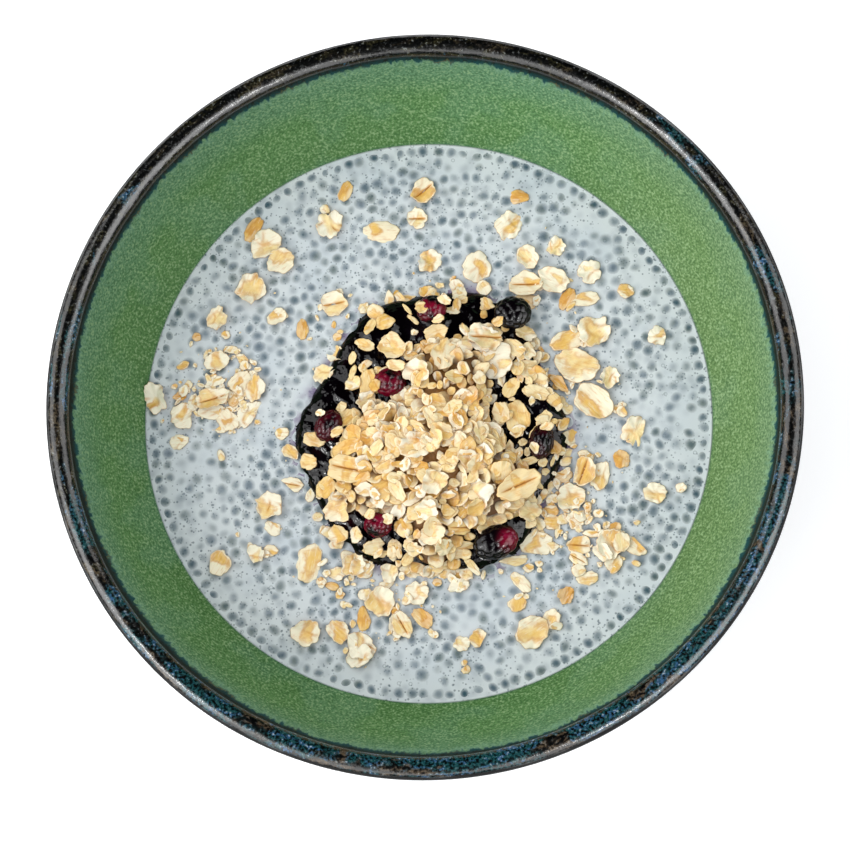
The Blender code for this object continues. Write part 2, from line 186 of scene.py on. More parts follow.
# %% The wire class
class Wire:
    """An output of a node in a material's tree."""

    def __init__(self, tree, socket=None):
        self.tree = tree
        self.socket = socket

    def node(self, kind, settings=None, inputs=None, output=0):
        """Adds a node: its settings are set first, and then its sockets' values or links."""
        made = self.tree.nodes.new(kind)
        for key, value in (settings or {}).items():
            setattr(made, key, value)
        for key, value in (inputs or {}).items():
            self.feed(made.inputs[key], value)
        return Wire(self.tree, made.outputs[output])

    def feed(self, socket, value):
        """Links a wire to a socket, or sets the socket's own value."""
        if isinstance(value, Wire):
            self.tree.links.new(value.socket, socket)
        else:
            socket.default_value = value

    def math(self, operation, *others):
        """Adds a Math node that works on this number and the others."""
        inputs = dict(enumerate((self, *others)))
        return self.node("ShaderNodeMath", {"operation": operation}, inputs)

    def __add__(self, other):
        return self.math("ADD", other)

    def __sub__(self, other):
        return self.math("SUBTRACT", other)

    def __mul__(self, other):
        return self.math("MULTIPLY", other)

    def __pow__(self, other):
        return self.math("POWER", other)

    def __rsub__(self, other):
        return self.node("ShaderNodeMath", {"operation": "SUBTRACT"}, {0: other, 1: self})

    __radd__ = __add__
    __rmul__ = __mul__

    def rise(self, low, high):
        """A mask that goes smoothly from 0 at low to 1 at high, or from 1 to 0 if low is higher."""
        if not isinstance(low, Wire) and not isinstance(high, Wire) and low > high:
            return 1 - self.rise(high, low)
        inputs = {"Value": self, "From Min": low, "From Max": high}
        return self.node("ShaderNodeMapRange", {"interpolation_type": "SMOOTHSTEP"}, inputs)

    def mixed(self, other, mask):
        """This colour where the mask is 0, and the other where it is 1."""
        inputs = {0: mask, 6: self, 7: other}
        return self.node("ShaderNodeMix", {"data_type": "RGBA"}, inputs, output=2)

    def layered(self, *layers):
        """This colour with others laid over it in turn, each where its mask is 1."""
        seen = self
        for other, mask in layers:
            seen = seen.mixed(other, mask)
        return seen

    def mixed_number(self, other, mask):
        """This number where the mask is 0, and the other where it is 1."""
        return self.node("ShaderNodeMix", {"data_type": "FLOAT"}, {0: mask, 2: self, 3: other})

    def colour(self, value):
        """A plain colour to start a mix from."""
        inputs = {0: 0.0, 6: value, 7: value}
        return self.node("ShaderNodeMix", {"data_type": "RGBA"}, inputs, output=2)

    def attribute(self, name):
        """The numbers that a mesh keeps at its points under a name."""
        return self.node("ShaderNodeAttribute", {"attribute_name": name}, output="Fac")

    def part(self, axis):
        """One of a vector's three numbers, counted from 0."""
        return self.node("ShaderNodeSeparateXYZ", None, {0: self}, output=axis)

    def vector(self, x, y, z):
        """Three numbers as one vector."""
        return self.node("ShaderNodeCombineXYZ", None, {0: x, 1: y, 2: z})

    def noise(self, size, detail=2.0, distortion=0.0):
        """Cloudy noise from 0 to 1 at this place, with blobs of about that size in millimetres."""
        inputs = {"Vector": self, "Scale": 0.5 / (size * MM)}
        inputs |= {"Detail": detail, "Distortion": distortion}
        return self.node("ShaderNodeTexNoise", None, inputs)

    def cells(self, size, output="Distance", flat=True):
        """Distance to the nearest of scattered points, in shares of their spacing in millimetres,
        or with the output Color, random numbers for each point."""
        settings = {"voronoi_dimensions": "2D" if flat else "3D"}
        inputs = {"Vector": self, "Scale": 1 / (size * MM)}
        return self.node("ShaderNodeTexVoronoi", settings, inputs, output=output)


# %% Materials
def srgb(red, green, blue):
    """A colour read off a screen in bytes, as linear light."""
    share = np.array([red, green, blue]) / 255
    linear = np.where(share <= 0.04045, share / 12.92, ((share + 0.055) / 1.055) ** 2.4)
    return (*linear.tolist(), 1.0)


def finish(name, **constants):
    """A material with its shader's own values set, its shader node, and a wire with the place on
    the piece in metres."""
    material = bpy.data.materials.new(name)
    material.use_nodes = True
    tree = material.node_tree
    shader = tree.nodes["Principled BSDF"]
    for key, value in constants.items():
        shader.inputs[key.replace("_", " ")].default_value = value
    return material, shader, Wire(tree).node("ShaderNodeTexCoord", output="Object")


def relief(shader, height, depth):
    """Lets a height from 0 to 1 stand for a fine relief of that depth in millimetres."""
    inputs = {"Height": height, "Distance": depth * MM, "Strength": 1.0}
    height.feed(shader.inputs["Normal"], height.node("ShaderNodeBump", None, inputs))


# %% [markdown]
# ## Camera, light and floor
#
# The photograph looks almost straight down, from a little to the viewer's side. How round the rim
# looks gives the tilt, and how far the pudding's edge slides against the rim gives the distance.
# The light is one broad soft window on the left in a bright white room. Neither of them is
# mirrored, so that wet black fruit stays black. The grey bands that run round the lip are light
# walls to the left and right, with the viewer's dark shape between them, so cards stand there that
# are only mirrored. Two small bright lamps, also only mirrored, give the wet fruit its glints.

# %% The camera
CAMERA_DISTANCE = 520.0
CAMERA_TILT, CAMERA_TURN = math.radians(79.74), math.radians(13.5)
LOOK_AT = Vector((0.6, -6.7, HEIGHT))
LENS = 98.95

scene = bpy.context.scene
scene.view_settings.view_transform = "Standard"


def axes_towards(back):
    """The directions to the right, up and back of a view from that side, with +Y up in it."""
    right = Vector((0, 1, 0)).cross(back).normalized()
    return right, back.cross(right), back


def aimed(thing, place, target):
    """Puts a camera or lamp at a place in millimetres, looking at a target, with +Y up."""
    axes = Matrix(axes_towards((place - target).normalized())).transposed()
    thing.matrix_world = Matrix.Translation(place * MM) @ axes.to_4x4()
    scene.collection.objects.link(thing)
    return thing


level_part = math.cos(CAMERA_TILT)
towards = Vector(
    (math.sin(CAMERA_TURN) * level_part, -math.cos(CAMERA_TURN) * level_part, math.sin(CAMERA_TILT))
)
camera_data = bpy.data.cameras.new("Camera")
camera_data.lens = LENS
camera_data.clip_start = 0.01
scene.camera = aimed(
    bpy.data.objects.new("Camera", camera_data), LOOK_AT + towards * CAMERA_DISTANCE, LOOK_AT
)

# %% [markdown]
# The toppings were measured on the photograph, at one scale from the middle of the pudding's
# outline. Seen at a slant, the near half of a circle looks larger than the far half, so a place
# in the picture isn't yet a place on the pudding. The function below follows the line of sight.

# %% From the picture to the pudding
VIEW_DISTANCE, VIEW_SHIFT = 549.5, (0.57, -1.68)


def as_it_lies(x, y):
    """The place on the pudding of what is seen at (x, y). Its line of sight meets the pudding's
    level where two linear equations hold, and Cramer's rule solves them."""
    right, up, back = axes_towards(towards)
    x, y = x + VIEW_SHIFT[0], y + VIEW_SHIFT[1]
    a, b = right.x + x / VIEW_DISTANCE * back.x, x / VIEW_DISTANCE * back.y
    c, d = up.x + y / VIEW_DISTANCE * back.x, up.y + y / VIEW_DISTANCE * back.y
    return (x * d - y * b) / (a * d - b * c), (y * a - x * c) / (a * d - b * c)


# %% Windows and walls
def towards_turn(turn, lift, distance):
    """The place at a turn from +X and a lift above the floor, in degrees, seen from the bowl."""
    turn, lift = math.radians(turn), math.radians(lift)
    level = distance * math.cos(lift)
    return Vector((level * math.cos(turn), level * math.sin(turn), distance * math.sin(lift)))


def window(name, place, width, height, brightness, lights=True):
    """A soft rectangular lamp that looks at the bowl. It either lights it or is only mirrored by
    the glossy glaze and syrup, as the card is that a photographer sets up for that."""
    lamp = bpy.data.lights.new(name, "AREA")
    lamp.shape = "RECTANGLE"
    lamp.size, lamp.size_y = width * MM, height * MM
    lamp.energy = brightness * math.pi * lamp.size * lamp.size_y
    made = aimed(bpy.data.objects.new(name, lamp), place, Vector((0, 0, LEVEL)))
    made.visible_diffuse = lights
    made.visible_glossy = not lights
    return made


# Turns and lifts are in degrees, and sizes and distances in millimetres.
WINDOW_TURN, WINDOW_LIFT, WINDOW_DISTANCE = 194, 38, 700
WINDOW_WIDTH, WINDOW_HEIGHT, WINDOW_BRIGHTNESS = 600, 860, 2.5
GLINTS = {"Left_glint": (212, 52), "Right_glint": (303, 47)}
GLINT_SIZE, GLINT_BRIGHTNESS = 85, 54.0
CARD_TURNS = {"Left": 188, "Near_left": 228, "Near_right": 312, "Right": 354}
CARD_WIDTH, CARD_HEIGHT, CARD_LIFT, CARD_DISTANCE, CARD_BRIGHTNESS = 700, 1200, 42, 900, 2.7
DAYLIGHT, ROOM_BRIGHTNESS = (0.97, 0.985, 1.0, 1.0), 0.88

window_place = towards_turn(WINDOW_TURN, WINDOW_LIFT, WINDOW_DISTANCE)
window("Left_window", window_place, WINDOW_WIDTH, WINDOW_HEIGHT, WINDOW_BRIGHTNESS)
for name, (turn, lift) in GLINTS.items():
    glint_place = towards_turn(turn, lift, CARD_DISTANCE)
    window(name, glint_place, GLINT_SIZE, GLINT_SIZE, GLINT_BRIGHTNESS, lights=False)
for name, turn in CARD_TURNS.items():
    card_place = towards_turn(turn, CARD_LIFT, CARD_DISTANCE)
    window(name + "_card", card_place, CARD_WIDTH, CARD_HEIGHT, CARD_BRIGHTNESS, lights=False)
world = bpy.data.worlds.new("Bright room")
scene.world = world
world.use_nodes = True
background = world.node_tree.nodes["Background"]
background.inputs["Color"].default_value = DAYLIGHT
background.inputs["Strength"].default_value = ROOM_BRIGHTNESS
world.cycles_visibility.glossy = False
print(f"one window, {len(GLINTS)} small lamps and {len(CARD_TURNS)} mirrored walls")

# %% The floor
FLOOR_HALF, FLOOR_WHITE, FLOOR_GLOW = 3000.0, (0.95, 0.95, 0.95, 1.0), 0.36
floor_mesh = bpy.data.meshes.new("Floor")
corners = np.array([(-1, -1, 0), (1, -1, 0), (1, 1, 0), (-1, 1, 0)]) * FLOOR_HALF * MM
floor_mesh.from_pydata(corners.tolist(), [], [(0, 1, 2, 3)])
floor = bpy.data.objects.new("Floor", floor_mesh)
scene.collection.objects.link(floor)
white, white_shader, _ = finish("White floor", Roughness=0.9)
white_shader.inputs["Base Color"].default_value = FLOOR_WHITE
white_shader.inputs["Emission Color"].default_value = DAYLIGHT
white_shader.inputs["Emission Strength"].default_value = FLOOR_GLOW
floor_mesh.materials.append(white)

# %% [markdown]
# ## The bowl
#
# The bowl is hand thrown: one profile carried round an axis, with a lip that is never quite even.
# The profile runs up the inner wall, over the lip, down the outside and round the foot. A number
# kept at each point, the run from the lip's crown, is how the glaze knows where it has flowed. The
# glaze also ran down from the lip and stopped in a soft roll, which is part of the shape.

# %% The bowl's profile
BOWL_COLUMNS = 300
RINGS_UNDER, RINGS_OVER, RINGS_ON_LIP, RINGS_OUTSIDE = 8, 34, 24, 44
RECESS_MIDDLE, RECESS_STEP = 12.0, 3


def bowl_profile():
    """Radii and heights from the inner floor to the recess under the foot: two walls as the
    formula above gives them, joined by a half circle, and a foot ring with rounded edges."""
    quarter = math.pi / 2
    edge_turn = math.asin(EDGE / INNER)
    under = np.linspace(edge_turn / 8, edge_turn * 0.98, RINGS_UNDER)
    over = np.linspace(edge_turn, quarter, RINGS_OVER)
    inside = wall(INNER, INNER_DEPTH, INNER_POWER, np.concatenate([under, over]))
    lip_turn = np.linspace(0, math.pi, RINGS_ON_LIP + 2)[1:-1]
    half = LIP / 2
    lip = INNER + half - half * np.cos(lip_turn), LIP_LEVEL + half * np.sin(lip_turn)
    foot_turn = math.asin((FOOT + FOOT_EDGE) / RIM)
    outside_turn = np.linspace(quarter, foot_turn, RINGS_OUTSIDE)
    outside = wall(RIM, OUTER_DEPTH, OUTER_POWER, outside_turn)
    rounding = np.linspace(0, quarter, 4)
    inner_foot = FOOT - FOOT_WIDTH
    near, far = FOOT_EDGE * (1 - np.cos(rounding)), FOOT_EDGE * (1 - np.sin(rounding))
    outer_edge, inner_edge = (FOOT - near, far), (inner_foot + far, near)
    neck = (np.array([FOOT]), np.array([outside[1][-1] - 2 * FOOT_EDGE]))
    recess_radii = [inner_foot - FOOT_EDGE, inner_foot - RECESS_STEP, RECESS_MIDDLE]
    recess = (np.array(recess_radii), np.full(len(recess_radii), RECESS))
    stretches = (inside, lip, outside, neck, outer_edge, inner_edge, recess)
    return tuple(np.concatenate([stretch[axis] for stretch in stretches]) for axis in (0, 1))


radius, height = bowl_profile()
steps = np.hypot(np.diff(radius), np.diff(height))
run = np.concatenate([[0], np.cumsum(steps)])
run -= run[np.argmax(height)]
MILK_LINE = float(run[RINGS_UNDER])
print(f"the bowl's wall is {run.max() - run.min():.0f} mm from floor to foot along its profile")


# %% The bowl's surface
THROWN, THROWN_REACH, THROWN_DROP = 0.16, 9, 0.7
THROWN_WAVES = ((2, 0.4), (3, 1.9), (5, 4.1), (7, 2.6))
ROLL, ROLL_LEAST, ROLL_RUN, ROLL_WIDTH = 0.75, 0.3, -4.2, 3.0


def equal_turns(columns):
    """A turn for each column, evenly once round."""
    return np.linspace(0, TAU, columns, endpoint=False)


def uneven(turn):
    """How much a hand-thrown rim gives way at a turn, from 0 to 1: the mean of four slow waves."""
    return np.mean([(1 - np.cos(times * turn + phase)) / 2 for times, phase in THROWN_WAVES], axis=0)


def bowl_surface(columns):
    """The profile turned about the axis. Close to the lip it gives way inwards and downwards by
    up to THROWN, so that no point leaves the solid's box. Just inside the lip the glaze has
    pooled in a roll. That is a bell curve of the run, as thick as ROLL at the most."""
    turn = equal_turns(columns)
    near_lip = np.exp(-((run / THROWN_REACH) ** 2))[:, None]
    give = THROWN * uneven(turn)[None, :] * near_lip
    bell = np.exp(-(((run - ROLL_RUN) / ROLL_WIDTH) ** 2))[:, None]
    roll = ROLL * mixed_range(ROLL_LEAST, 1, uneven(turn + 2.0))[None, :] * bell
    r = radius[:, None] - give - roll
    z = height[:, None] - THROWN_DROP * give
    rings = np.stack([r * np.cos(turn), r * np.sin(turn), z], -1)[None]
    floor_inside = np.array([[0, 0, LIP_LEVEL - INNER_DEPTH]])
    return rings, floor_inside, np.array([[0, 0, RECESS]])


# %% [markdown]
# ### The glaze
#
# Two glazes meet on this bowl: a speckled satin green inside, and a glossy black one on the rim
# that broke into brown, teal and blue where it ran thin. A kiln makes such a border ragged, with
# short streaks down the wall, so the mask of the border is noise stretched down the profile. Both
# glazes read the same run and noises, so these are made once and handed to a function for each.

# %% Green inside, black rim
# Places on the wall are runs in millimetres: above 0 they lie outside the lip's crown, and below 0
# inside. The border is moved by its streaks, its clouds and its lean towards the far left.
BORDER, BORDER_STREAKS, BORDER_CLOUDS, BORDER_LEAN = -8.4, 8.0, 5.0, 2.6
BLACK_OUTSIDE, BLACK_INSIDE = (1.7, 2.3), (-2.8, -3.6)
GLOSS_OUTSIDE, GLOSS_INSIDE = (2.5, 1.9), (-3.9, -3.1)
OUTER_GLOSS, OUTER_GLOSS_FROM, UNDERSIDE_FROM = 0.7, (5.0, 8.0), (40.0, 60.0)
BARE_BELOW = ((RECESS + 0.9) * MM, (RECESS + 0.3) * MM)
# How far the patterns are stretched along the wall and round it, where 1 is not at all.
STREAK_ALONG, BAND_ALONG, BAND_ROUND, LIP_SWING = 0.25, 0.9, 0.36, 1.6
# The warm green is also darker: partly the glaze's own tone, partly painted shade low in the bowl.
GREEN, GREEN_COOL, GREEN_WARM_SHADED = srgb(91, 135, 78), srgb(98, 141, 105), srgb(76, 118, 60)
GREEN_PALE, GREEN_DEEP, MINT = srgb(154, 183, 134), srgb(42, 84, 42), srgb(140, 182, 154)
# The sage is a paler green painted on the right side of the wall, as the window's light there.
SAGE_PAINTED_LIGHT = srgb(122, 140, 92)
BLACK, OLIVE, BROWN = srgb(4, 5, 5), srgb(66, 62, 34), srgb(98, 82, 64)
TEAL, COBALT, PALE = srgb(14, 74, 78), srgb(44, 84, 126), srgb(168, 178, 178)
# The second grey on this line is a painted sheen, laid faintly over the black rim.
TAN, PAINTED_SHEEN_GREY = srgb(112, 104, 62), srgb(74, 82, 80)
CLAY, CLAY_DARK = srgb(134, 104, 80), srgb(92, 70, 54)


def glaze_marks(place):
    """What both glazes go by: the wall's x and y, the run, and noises. The border is the run,
    moved by streaks that are stretched down the wall, by slow clouds, and towards one side."""
    run_here = place.attribute("run")
    flat = place.vector(place.part(0), place.part(1), 0.0)
    around = flat.node("ShaderNodeVectorMath", {"operation": "NORMALIZE"}, {0: flat})
    x, y = around.part(0) * (INNER * MM), around.part(1) * (INNER * MM)
    streaks = place.vector(x, y, run_here * (STREAK_ALONG * MM)).noise(0.5, detail=5.0)
    slow = place.vector(x, y, 0.0).noise(5.0, detail=3.0)
    to_far_left = (y * 0.87 - x * 0.15) * (1 / (INNER * MM))
    border = run_here - to_far_left * BORDER_LEAN
    border = border + (streaks - 0.5) * BORDER_STREAKS + (slow - 0.5) * BORDER_CLOUDS
    band = place.vector(x * BAND_ROUND, y * BAND_ROUND, run_here * (BAND_ALONG * MM))
    swells = band.noise(2.0, detail=3.0)
    return SimpleNamespace(
        x=x, y=y, run=run_here, border=border, streaks=streaks, slow=slow, band=band, swells=swells,
        waved=run_here + (swells - 0.5) * LIP_SWING,
        speckle=place.noise(0.28, detail=3.0), grains=place.noise(0.32, detail=5.0),
    )


def green_glaze(place, marks):
    """The glaze inside: cool near the border, warmer and darker further down, partly painted shade
    low in the bowl, a paler sage painted on the right side as the window's light, dark and pale
    speckles, a mint halo below the border, teal along it, and a dark teal line painted as shade
    where it meets the pudding."""
    cloud = place.noise(7.0, detail=4.0)
    halo = marks.border.rise(BORDER - 4.0, BORDER) * marks.streaks.rise(0.3, 0.6)
    return place.colour(GREEN_COOL).layered(
        (GREEN, marks.run.rise(BORDER - 2.0, BORDER - 13.0)),
        # Warmer and darker down towards the pudding: partly the glaze's tone, partly painted shade.
        (GREEN_WARM_SHADED, marks.run.rise(BORDER - 14.0, MILK_LINE) * 0.6),
        (GREEN_COOL, cloud.rise(0.45, 0.65) * 0.5),
        # Painted light: a paler sage on the right side of the wall, which faces the window.
        (SAGE_PAINTED_LIGHT, marks.x.rise(20 * MM, 80 * MM) * 0.4),
        (GREEN_DEEP, marks.speckle.rise(0.52, 0.34) * 0.55),
        (GREEN_PALE, marks.speckle.rise(0.5, 0.68) * 0.62),
        # A thin dark teal line where the wall meets the pudding, painted shade in that corner.
        (TEAL, marks.run.rise(MILK_LINE + 0.8, MILK_LINE + 0.2) * 0.2),
        (MINT, halo * 0.5),
        (TEAL, marks.border.rise(BORDER - 1.4, BORDER) * 0.7),
    )


def black_glaze(place, marks):
    """The glaze of the rim: black, broken into olive, brown, teal, blue and pale specks where the
    lip made it thin, with faint grey grains painted on as sheen, black again down both walls, and
    teal and tan at the border."""
    blue_side = (marks.x * 0.3 - marks.y * 0.95) * (1 / (INNER * MM))
    patches = marks.band.noise(1.9, detail=6.0, distortion=0.8)
    veins = marks.band.noise(0.8, detail=7.0, distortion=1.2)
    grains = marks.grains
    blue = (blue_side * 0.13 + patches).rise(0.5, 0.6)
    brown = patches.rise(0.47, 0.4) * veins.rise(0.42, 0.58) * grains.rise(0.34, 0.56)
    specks = grains.rise(0.6, 0.7) * veins.rise(0.44, 0.6)
    fringe = marks.border.rise(BORDER + 4.0, BORDER + 0.5) * marks.streaks.rise(0.36, 0.6)
    edge = marks.border.rise(BORDER + 1.0, BORDER + 0.2) * marks.slow.rise(0.52, 0.64)
    return place.colour(BLACK).layered(
        (OLIVE, veins.rise(0.5, 0.62) * grains.rise(0.36, 0.6) * 0.5),
        (BROWN, brown * (blue_side * 0.28 + 0.42)),
        (TEAL, blue * grains.rise(0.38, 0.6) * 0.9),
        (COBALT, blue * veins.rise(0.48, 0.62) * grains.rise(0.4, 0.62)),
        (PALE, specks * (blue * 0.5 + 0.3)),
        # Faint grey grains over the black, a painted sheen that stands in for reflected light.
        (PAINTED_SHEEN_GREY, grains.rise(0.5, 0.7) * veins.rise(0.5, 0.42) * 0.16),
        (BLACK, marks.waved.rise(*BLACK_OUTSIDE) * (1 - marks.run.rise(4.0, 12.0) * 0.25)),
        (BLACK, marks.waved.rise(*BLACK_INSIDE)),
        (TEAL, fringe * 0.9),
        (TAN, edge * 0.7),
    )


def glaze():
    """The bowl's finish: satin on the green, glossy on the lip, and nearly as glossy outside.
    Every mask is the run, or noise at the place, sent through a ramp."""
    material, shader, place = finish("Green and black glaze", IOR=1.6)
    marks = glaze_marks(place)
    green = marks.border.rise(BORDER + 0.4, BORDER - 0.6)
    surface = black_glaze(place, marks).mixed(green_glaze(place, marks), green)
    bare = place.part(2).rise(*BARE_BELOW) * marks.run.rise(*UNDERSIDE_FROM)
    clay = place.colour(CLAY).mixed(CLAY_DARK, place.noise(0.8, detail=4.0).rise(0.4, 0.65))
    surface = surface.mixed(clay, bare)
    place.feed(shader.inputs["Base Color"], surface)
    place.feed(shader.inputs["Roughness"], 0.18 + marks.grains.rise(0.45, 0.7) * 0.12)
    relief(shader, marks.grains * 0.12 + marks.swells * 0.88, 0.45)
    satin = place.tree.nodes.new("ShaderNodeBsdfPrincipled")
    satin.inputs["Specular IOR Level"].default_value = 0.12
    place.feed(satin.inputs["Base Color"], surface)
    place.feed(satin.inputs["Roughness"], 0.5 + marks.speckle * 0.16 + bare * 0.3)
    relief(satin, marks.speckle, 0.06)
    near_crown = marks.waved.rise(*GLOSS_OUTSIDE) * marks.waved.rise(*GLOSS_INSIDE)
    glossy = near_crown.mixed_number(0.0, green)
    glossy = glossy.mixed_number(OUTER_GLOSS, marks.run.rise(*OUTER_GLOSS_FROM))
    both = {0: glossy, 1: Wire(place.tree, satin.outputs[0]), 2: Wire(place.tree, shader.outputs[0])}
    place.feed(
        place.tree.nodes["Material Output"].inputs["Surface"],
        place.node("ShaderNodeMixShader", None, both),
    )
    return material


# %% The bowl
rings, inner_pole, outer_pole = bowl_surface(BOWL_COLUMNS)
run_rings = np.broadcast_to(run[None, :, None, None], (*rings.shape[:3], 1))
run_values = (run_rings, np.array([[run[0] - radius[0]]]), np.array([[run[-1] + radius[-1]]]))
bowl = rings_piece(
    "glazed_bowl", (rings, inner_pole, outer_pole), glaze(), {"run": run_values}
)
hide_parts("bowl")

# %% [markdown]
# ## The pool and the heap, as heights
#
# The compote and the oats are drawn as islands on a map: a closed coast line, and a height above
# it that falls to nothing at the coast. The coast is a smooth curve through radii at equal turns.
# The same functions answer how high a flake lies at any place, so nothing is left in the air.

# %% Coast lines
POOL_MIDDLE = np.array([1.1, -3.5])
POOL_RADII = (32, 29.9, 35.7, 33.2, 32.6, 28.8, 32.2, 31.4, 33.9, 32, 34.9, 30.5)
POOL_BASE, POOL_HEIGHT, POOL_POWER = LEVEL - 0.3, 4.2, 8
HEAP_MIDDLE = np.array([0.6, -7.4])
HEAP_RADII = (17.5, 15.5, 24.5, 23.5, 11, 17.5, 20.5, 24.5, 17, 27.5, 21, 25)
HEAP_BASE, HEAP_HEIGHT = LEVEL + 3.2, 5.3


def coast(radii, turn):
    """The radius of a coast at a turn: a cubic through the four radii nearest to it."""
    radii = np.asarray(radii, float)
    place = (np.asarray(turn) / TAU % 1) * len(radii)
    first = place.astype(int) % len(radii)
    share = place - np.floor(place)
    a, b, c, d = (radii[(first + step) % len(radii)] for step in (-1, 0, 1, 2))
    bend = 2 * a - 5 * b + 4 * c - d + share * (3 * (b - c) + d - a)
    return b + 0.5 * share * (c - a + share * bend)


def from_middle(middle, r, turn):
    """The x and y of places at a radius and a turn from an island's middle."""
    return middle[0] + r * np.cos(turn), middle[1] + r * np.sin(turn)


def reach(x, y, middle, radii):
    """How far out a place lies: 0 in an island's middle and 1 at its coast."""
    away_x, away_y = x - middle[0], y - middle[1]
    return np.hypot(away_x, away_y) / coast(radii, np.arctan2(away_y, away_x))


def waves(x, y, length, phase):
    """A bumpy sheet between about -1 and 1, from three crossed waves of that length."""
    k = TAU / length
    return (
        np.sin(k * (x + 0.31 * y) + phase)
        + np.sin(k * (0.83 * y - 0.52 * x) + 2.1 * phase)
        + np.sin(k * (0.6 * x + 0.95 * y) * 1.37 + 3.7 * phase)
    ) / 3


def pool_height(x, y):
    """The compote's height: a flat top with round sides, and lumps of fruit under its skin."""
    out = np.clip(reach(x, y, POOL_MIDDLE, POOL_RADII), 0, 1)
    side = np.sqrt(1 - out**POOL_POWER)
    lumps = 0.45 * waves(x, y, 8.3, 0.7) + 0.22 * waves(x, y, 3.7, 2.2)
    return POOL_BASE + side * (POOL_HEIGHT - 0.5 + lumps)


def heap_height(x, y):
    """The height of the oats' core: a low dome with knobs of the size of a flake."""
    out = np.clip(reach(x, y, HEAP_MIDDLE, HEAP_RADII), 0, 1)
    dome = np.sqrt(1 - out**2)
    return HEAP_BASE + dome * (HEAP_HEIGHT + 0.5 * waves(x, y, 6.1, 1.3))


def ground(x, y):
    """The height of whatever shows at a place: oats, compote or pudding."""
    on_pool = reach(x, y, POOL_MIDDLE, POOL_RADII) < 0.985
    on_heap = reach(x, y, HEAP_MIDDLE, HEAP_RADII) < 0.99
    pool = np.where(on_pool, pool_height(x, y), LEVEL)
    return np.where(on_heap, np.maximum(pool, heap_height(x, y)), pool)


# %% [markdown]
# ## The pudding
#
# Chia pudding is thick milk that holds its seeds apart. Its top is almost level, with a slight
# rise where it wets the wall, and it heaves a little over the seeds. The body is turned like the
# bowl. Tiny air bubbles show as dark dots and rings, which are drawn in the milk's material.

# %% The pudding's body
PUDDING_COLUMNS, RINGS_ON_TOP, RINGS_DOWN = 240, 89, 7
WALL_GAP, MENISCUS_WIDTH = 0.02, 0.55


def swell(x, y):
    """The slow heave of the pudding's top, as two sets of crossed waves."""
    return 0.05 * waves(x, y, 17, 0.4) + 0.03 * waves(x, y, 5.1, 1.1)


def pudding_surface(columns):
    """Rings out along the top, then down the wall to the floor. The top's height is LEVEL with a
    slow swell, and a meniscus that climbs the wall as an exponential of the radius."""
    top = EDGE * np.sqrt(np.linspace(0, 1, RINGS_ON_TOP + 1)[1:])
    down = np.linspace(math.asin(EDGE / INNER), 0, RINGS_DOWN + 2)[1:-1]
    turn = equal_turns(columns)
    r = top[:, None] * np.ones(columns)
    x, y = r * np.cos(turn), r * np.sin(turn)
    climb = MENISCUS * np.exp((r - EDGE) / MENISCUS_WIDTH)
    z = LEVEL + swell(x, y) * (1 - (r / EDGE) ** 20) + climb
    side_r, side_z = wall(INNER - WALL_GAP, INNER_DEPTH - WALL_GAP, INNER_POWER, down)
    side_x, side_y = np.outer(side_r, np.cos(turn)), np.outer(side_r, np.sin(turn))
    side = np.stack([side_x, side_y, np.outer(side_z, np.ones(columns))], -1)
    rings = np.concatenate([np.stack([x, y, z], -1), side])[None]
    return rings, np.array([[0, 0, LEVEL]]), np.array([[0, 0, LIP_LEVEL - INNER_DEPTH + WALL_GAP]])


# %% [markdown]
# ### Milk and seeds in one material
#
# Seen from a step away, most seeds are soft grey shadows: they hang just under the surface, and
# the milk blurs their edges. So each seed is a low swelling of the milk, and one material serves
# both. It turns from milk to seed by how far a point lies from the seed's middle, which the seeds
# keep as the number rho. On the plain pudding rho is 1, which is milk. The shadow's depth is what
# is left of 1 after rho squared, to a power: the higher the power, the deeper the seed hangs.

# %% Milk
MILK, MILK_BLUE = srgb(213, 220, 222), srgb(203, 212, 217)
SEED_SOFT, SEED_DARK, SEED_GREEN = srgb(116, 130, 142), srgb(52, 82, 94), srgb(96, 108, 94)
BUBBLE = srgb(84, 102, 110)
STAIN = srgb(112, 84, 132)
# Deep seeds are rows of a spacing and a strength. Dots are rows of a spacing and the share kept,
# and a dot's edge and core, like a ring's inner and outer edge, are shares of the spacing.
DEEP_SEEDS = ((3.6, 0.34), (2.9, 0.22))
DOTS, DOT_EDGE, DOT_CORE = ((2.1, 0.55), (1.6, 0.55), (1.2, 0.35)), 0.18, 0.07
RING_SPACING, RING_INNER, RING_OUTER = 3.3, (0.06, 0.11), (0.16, 0.12)


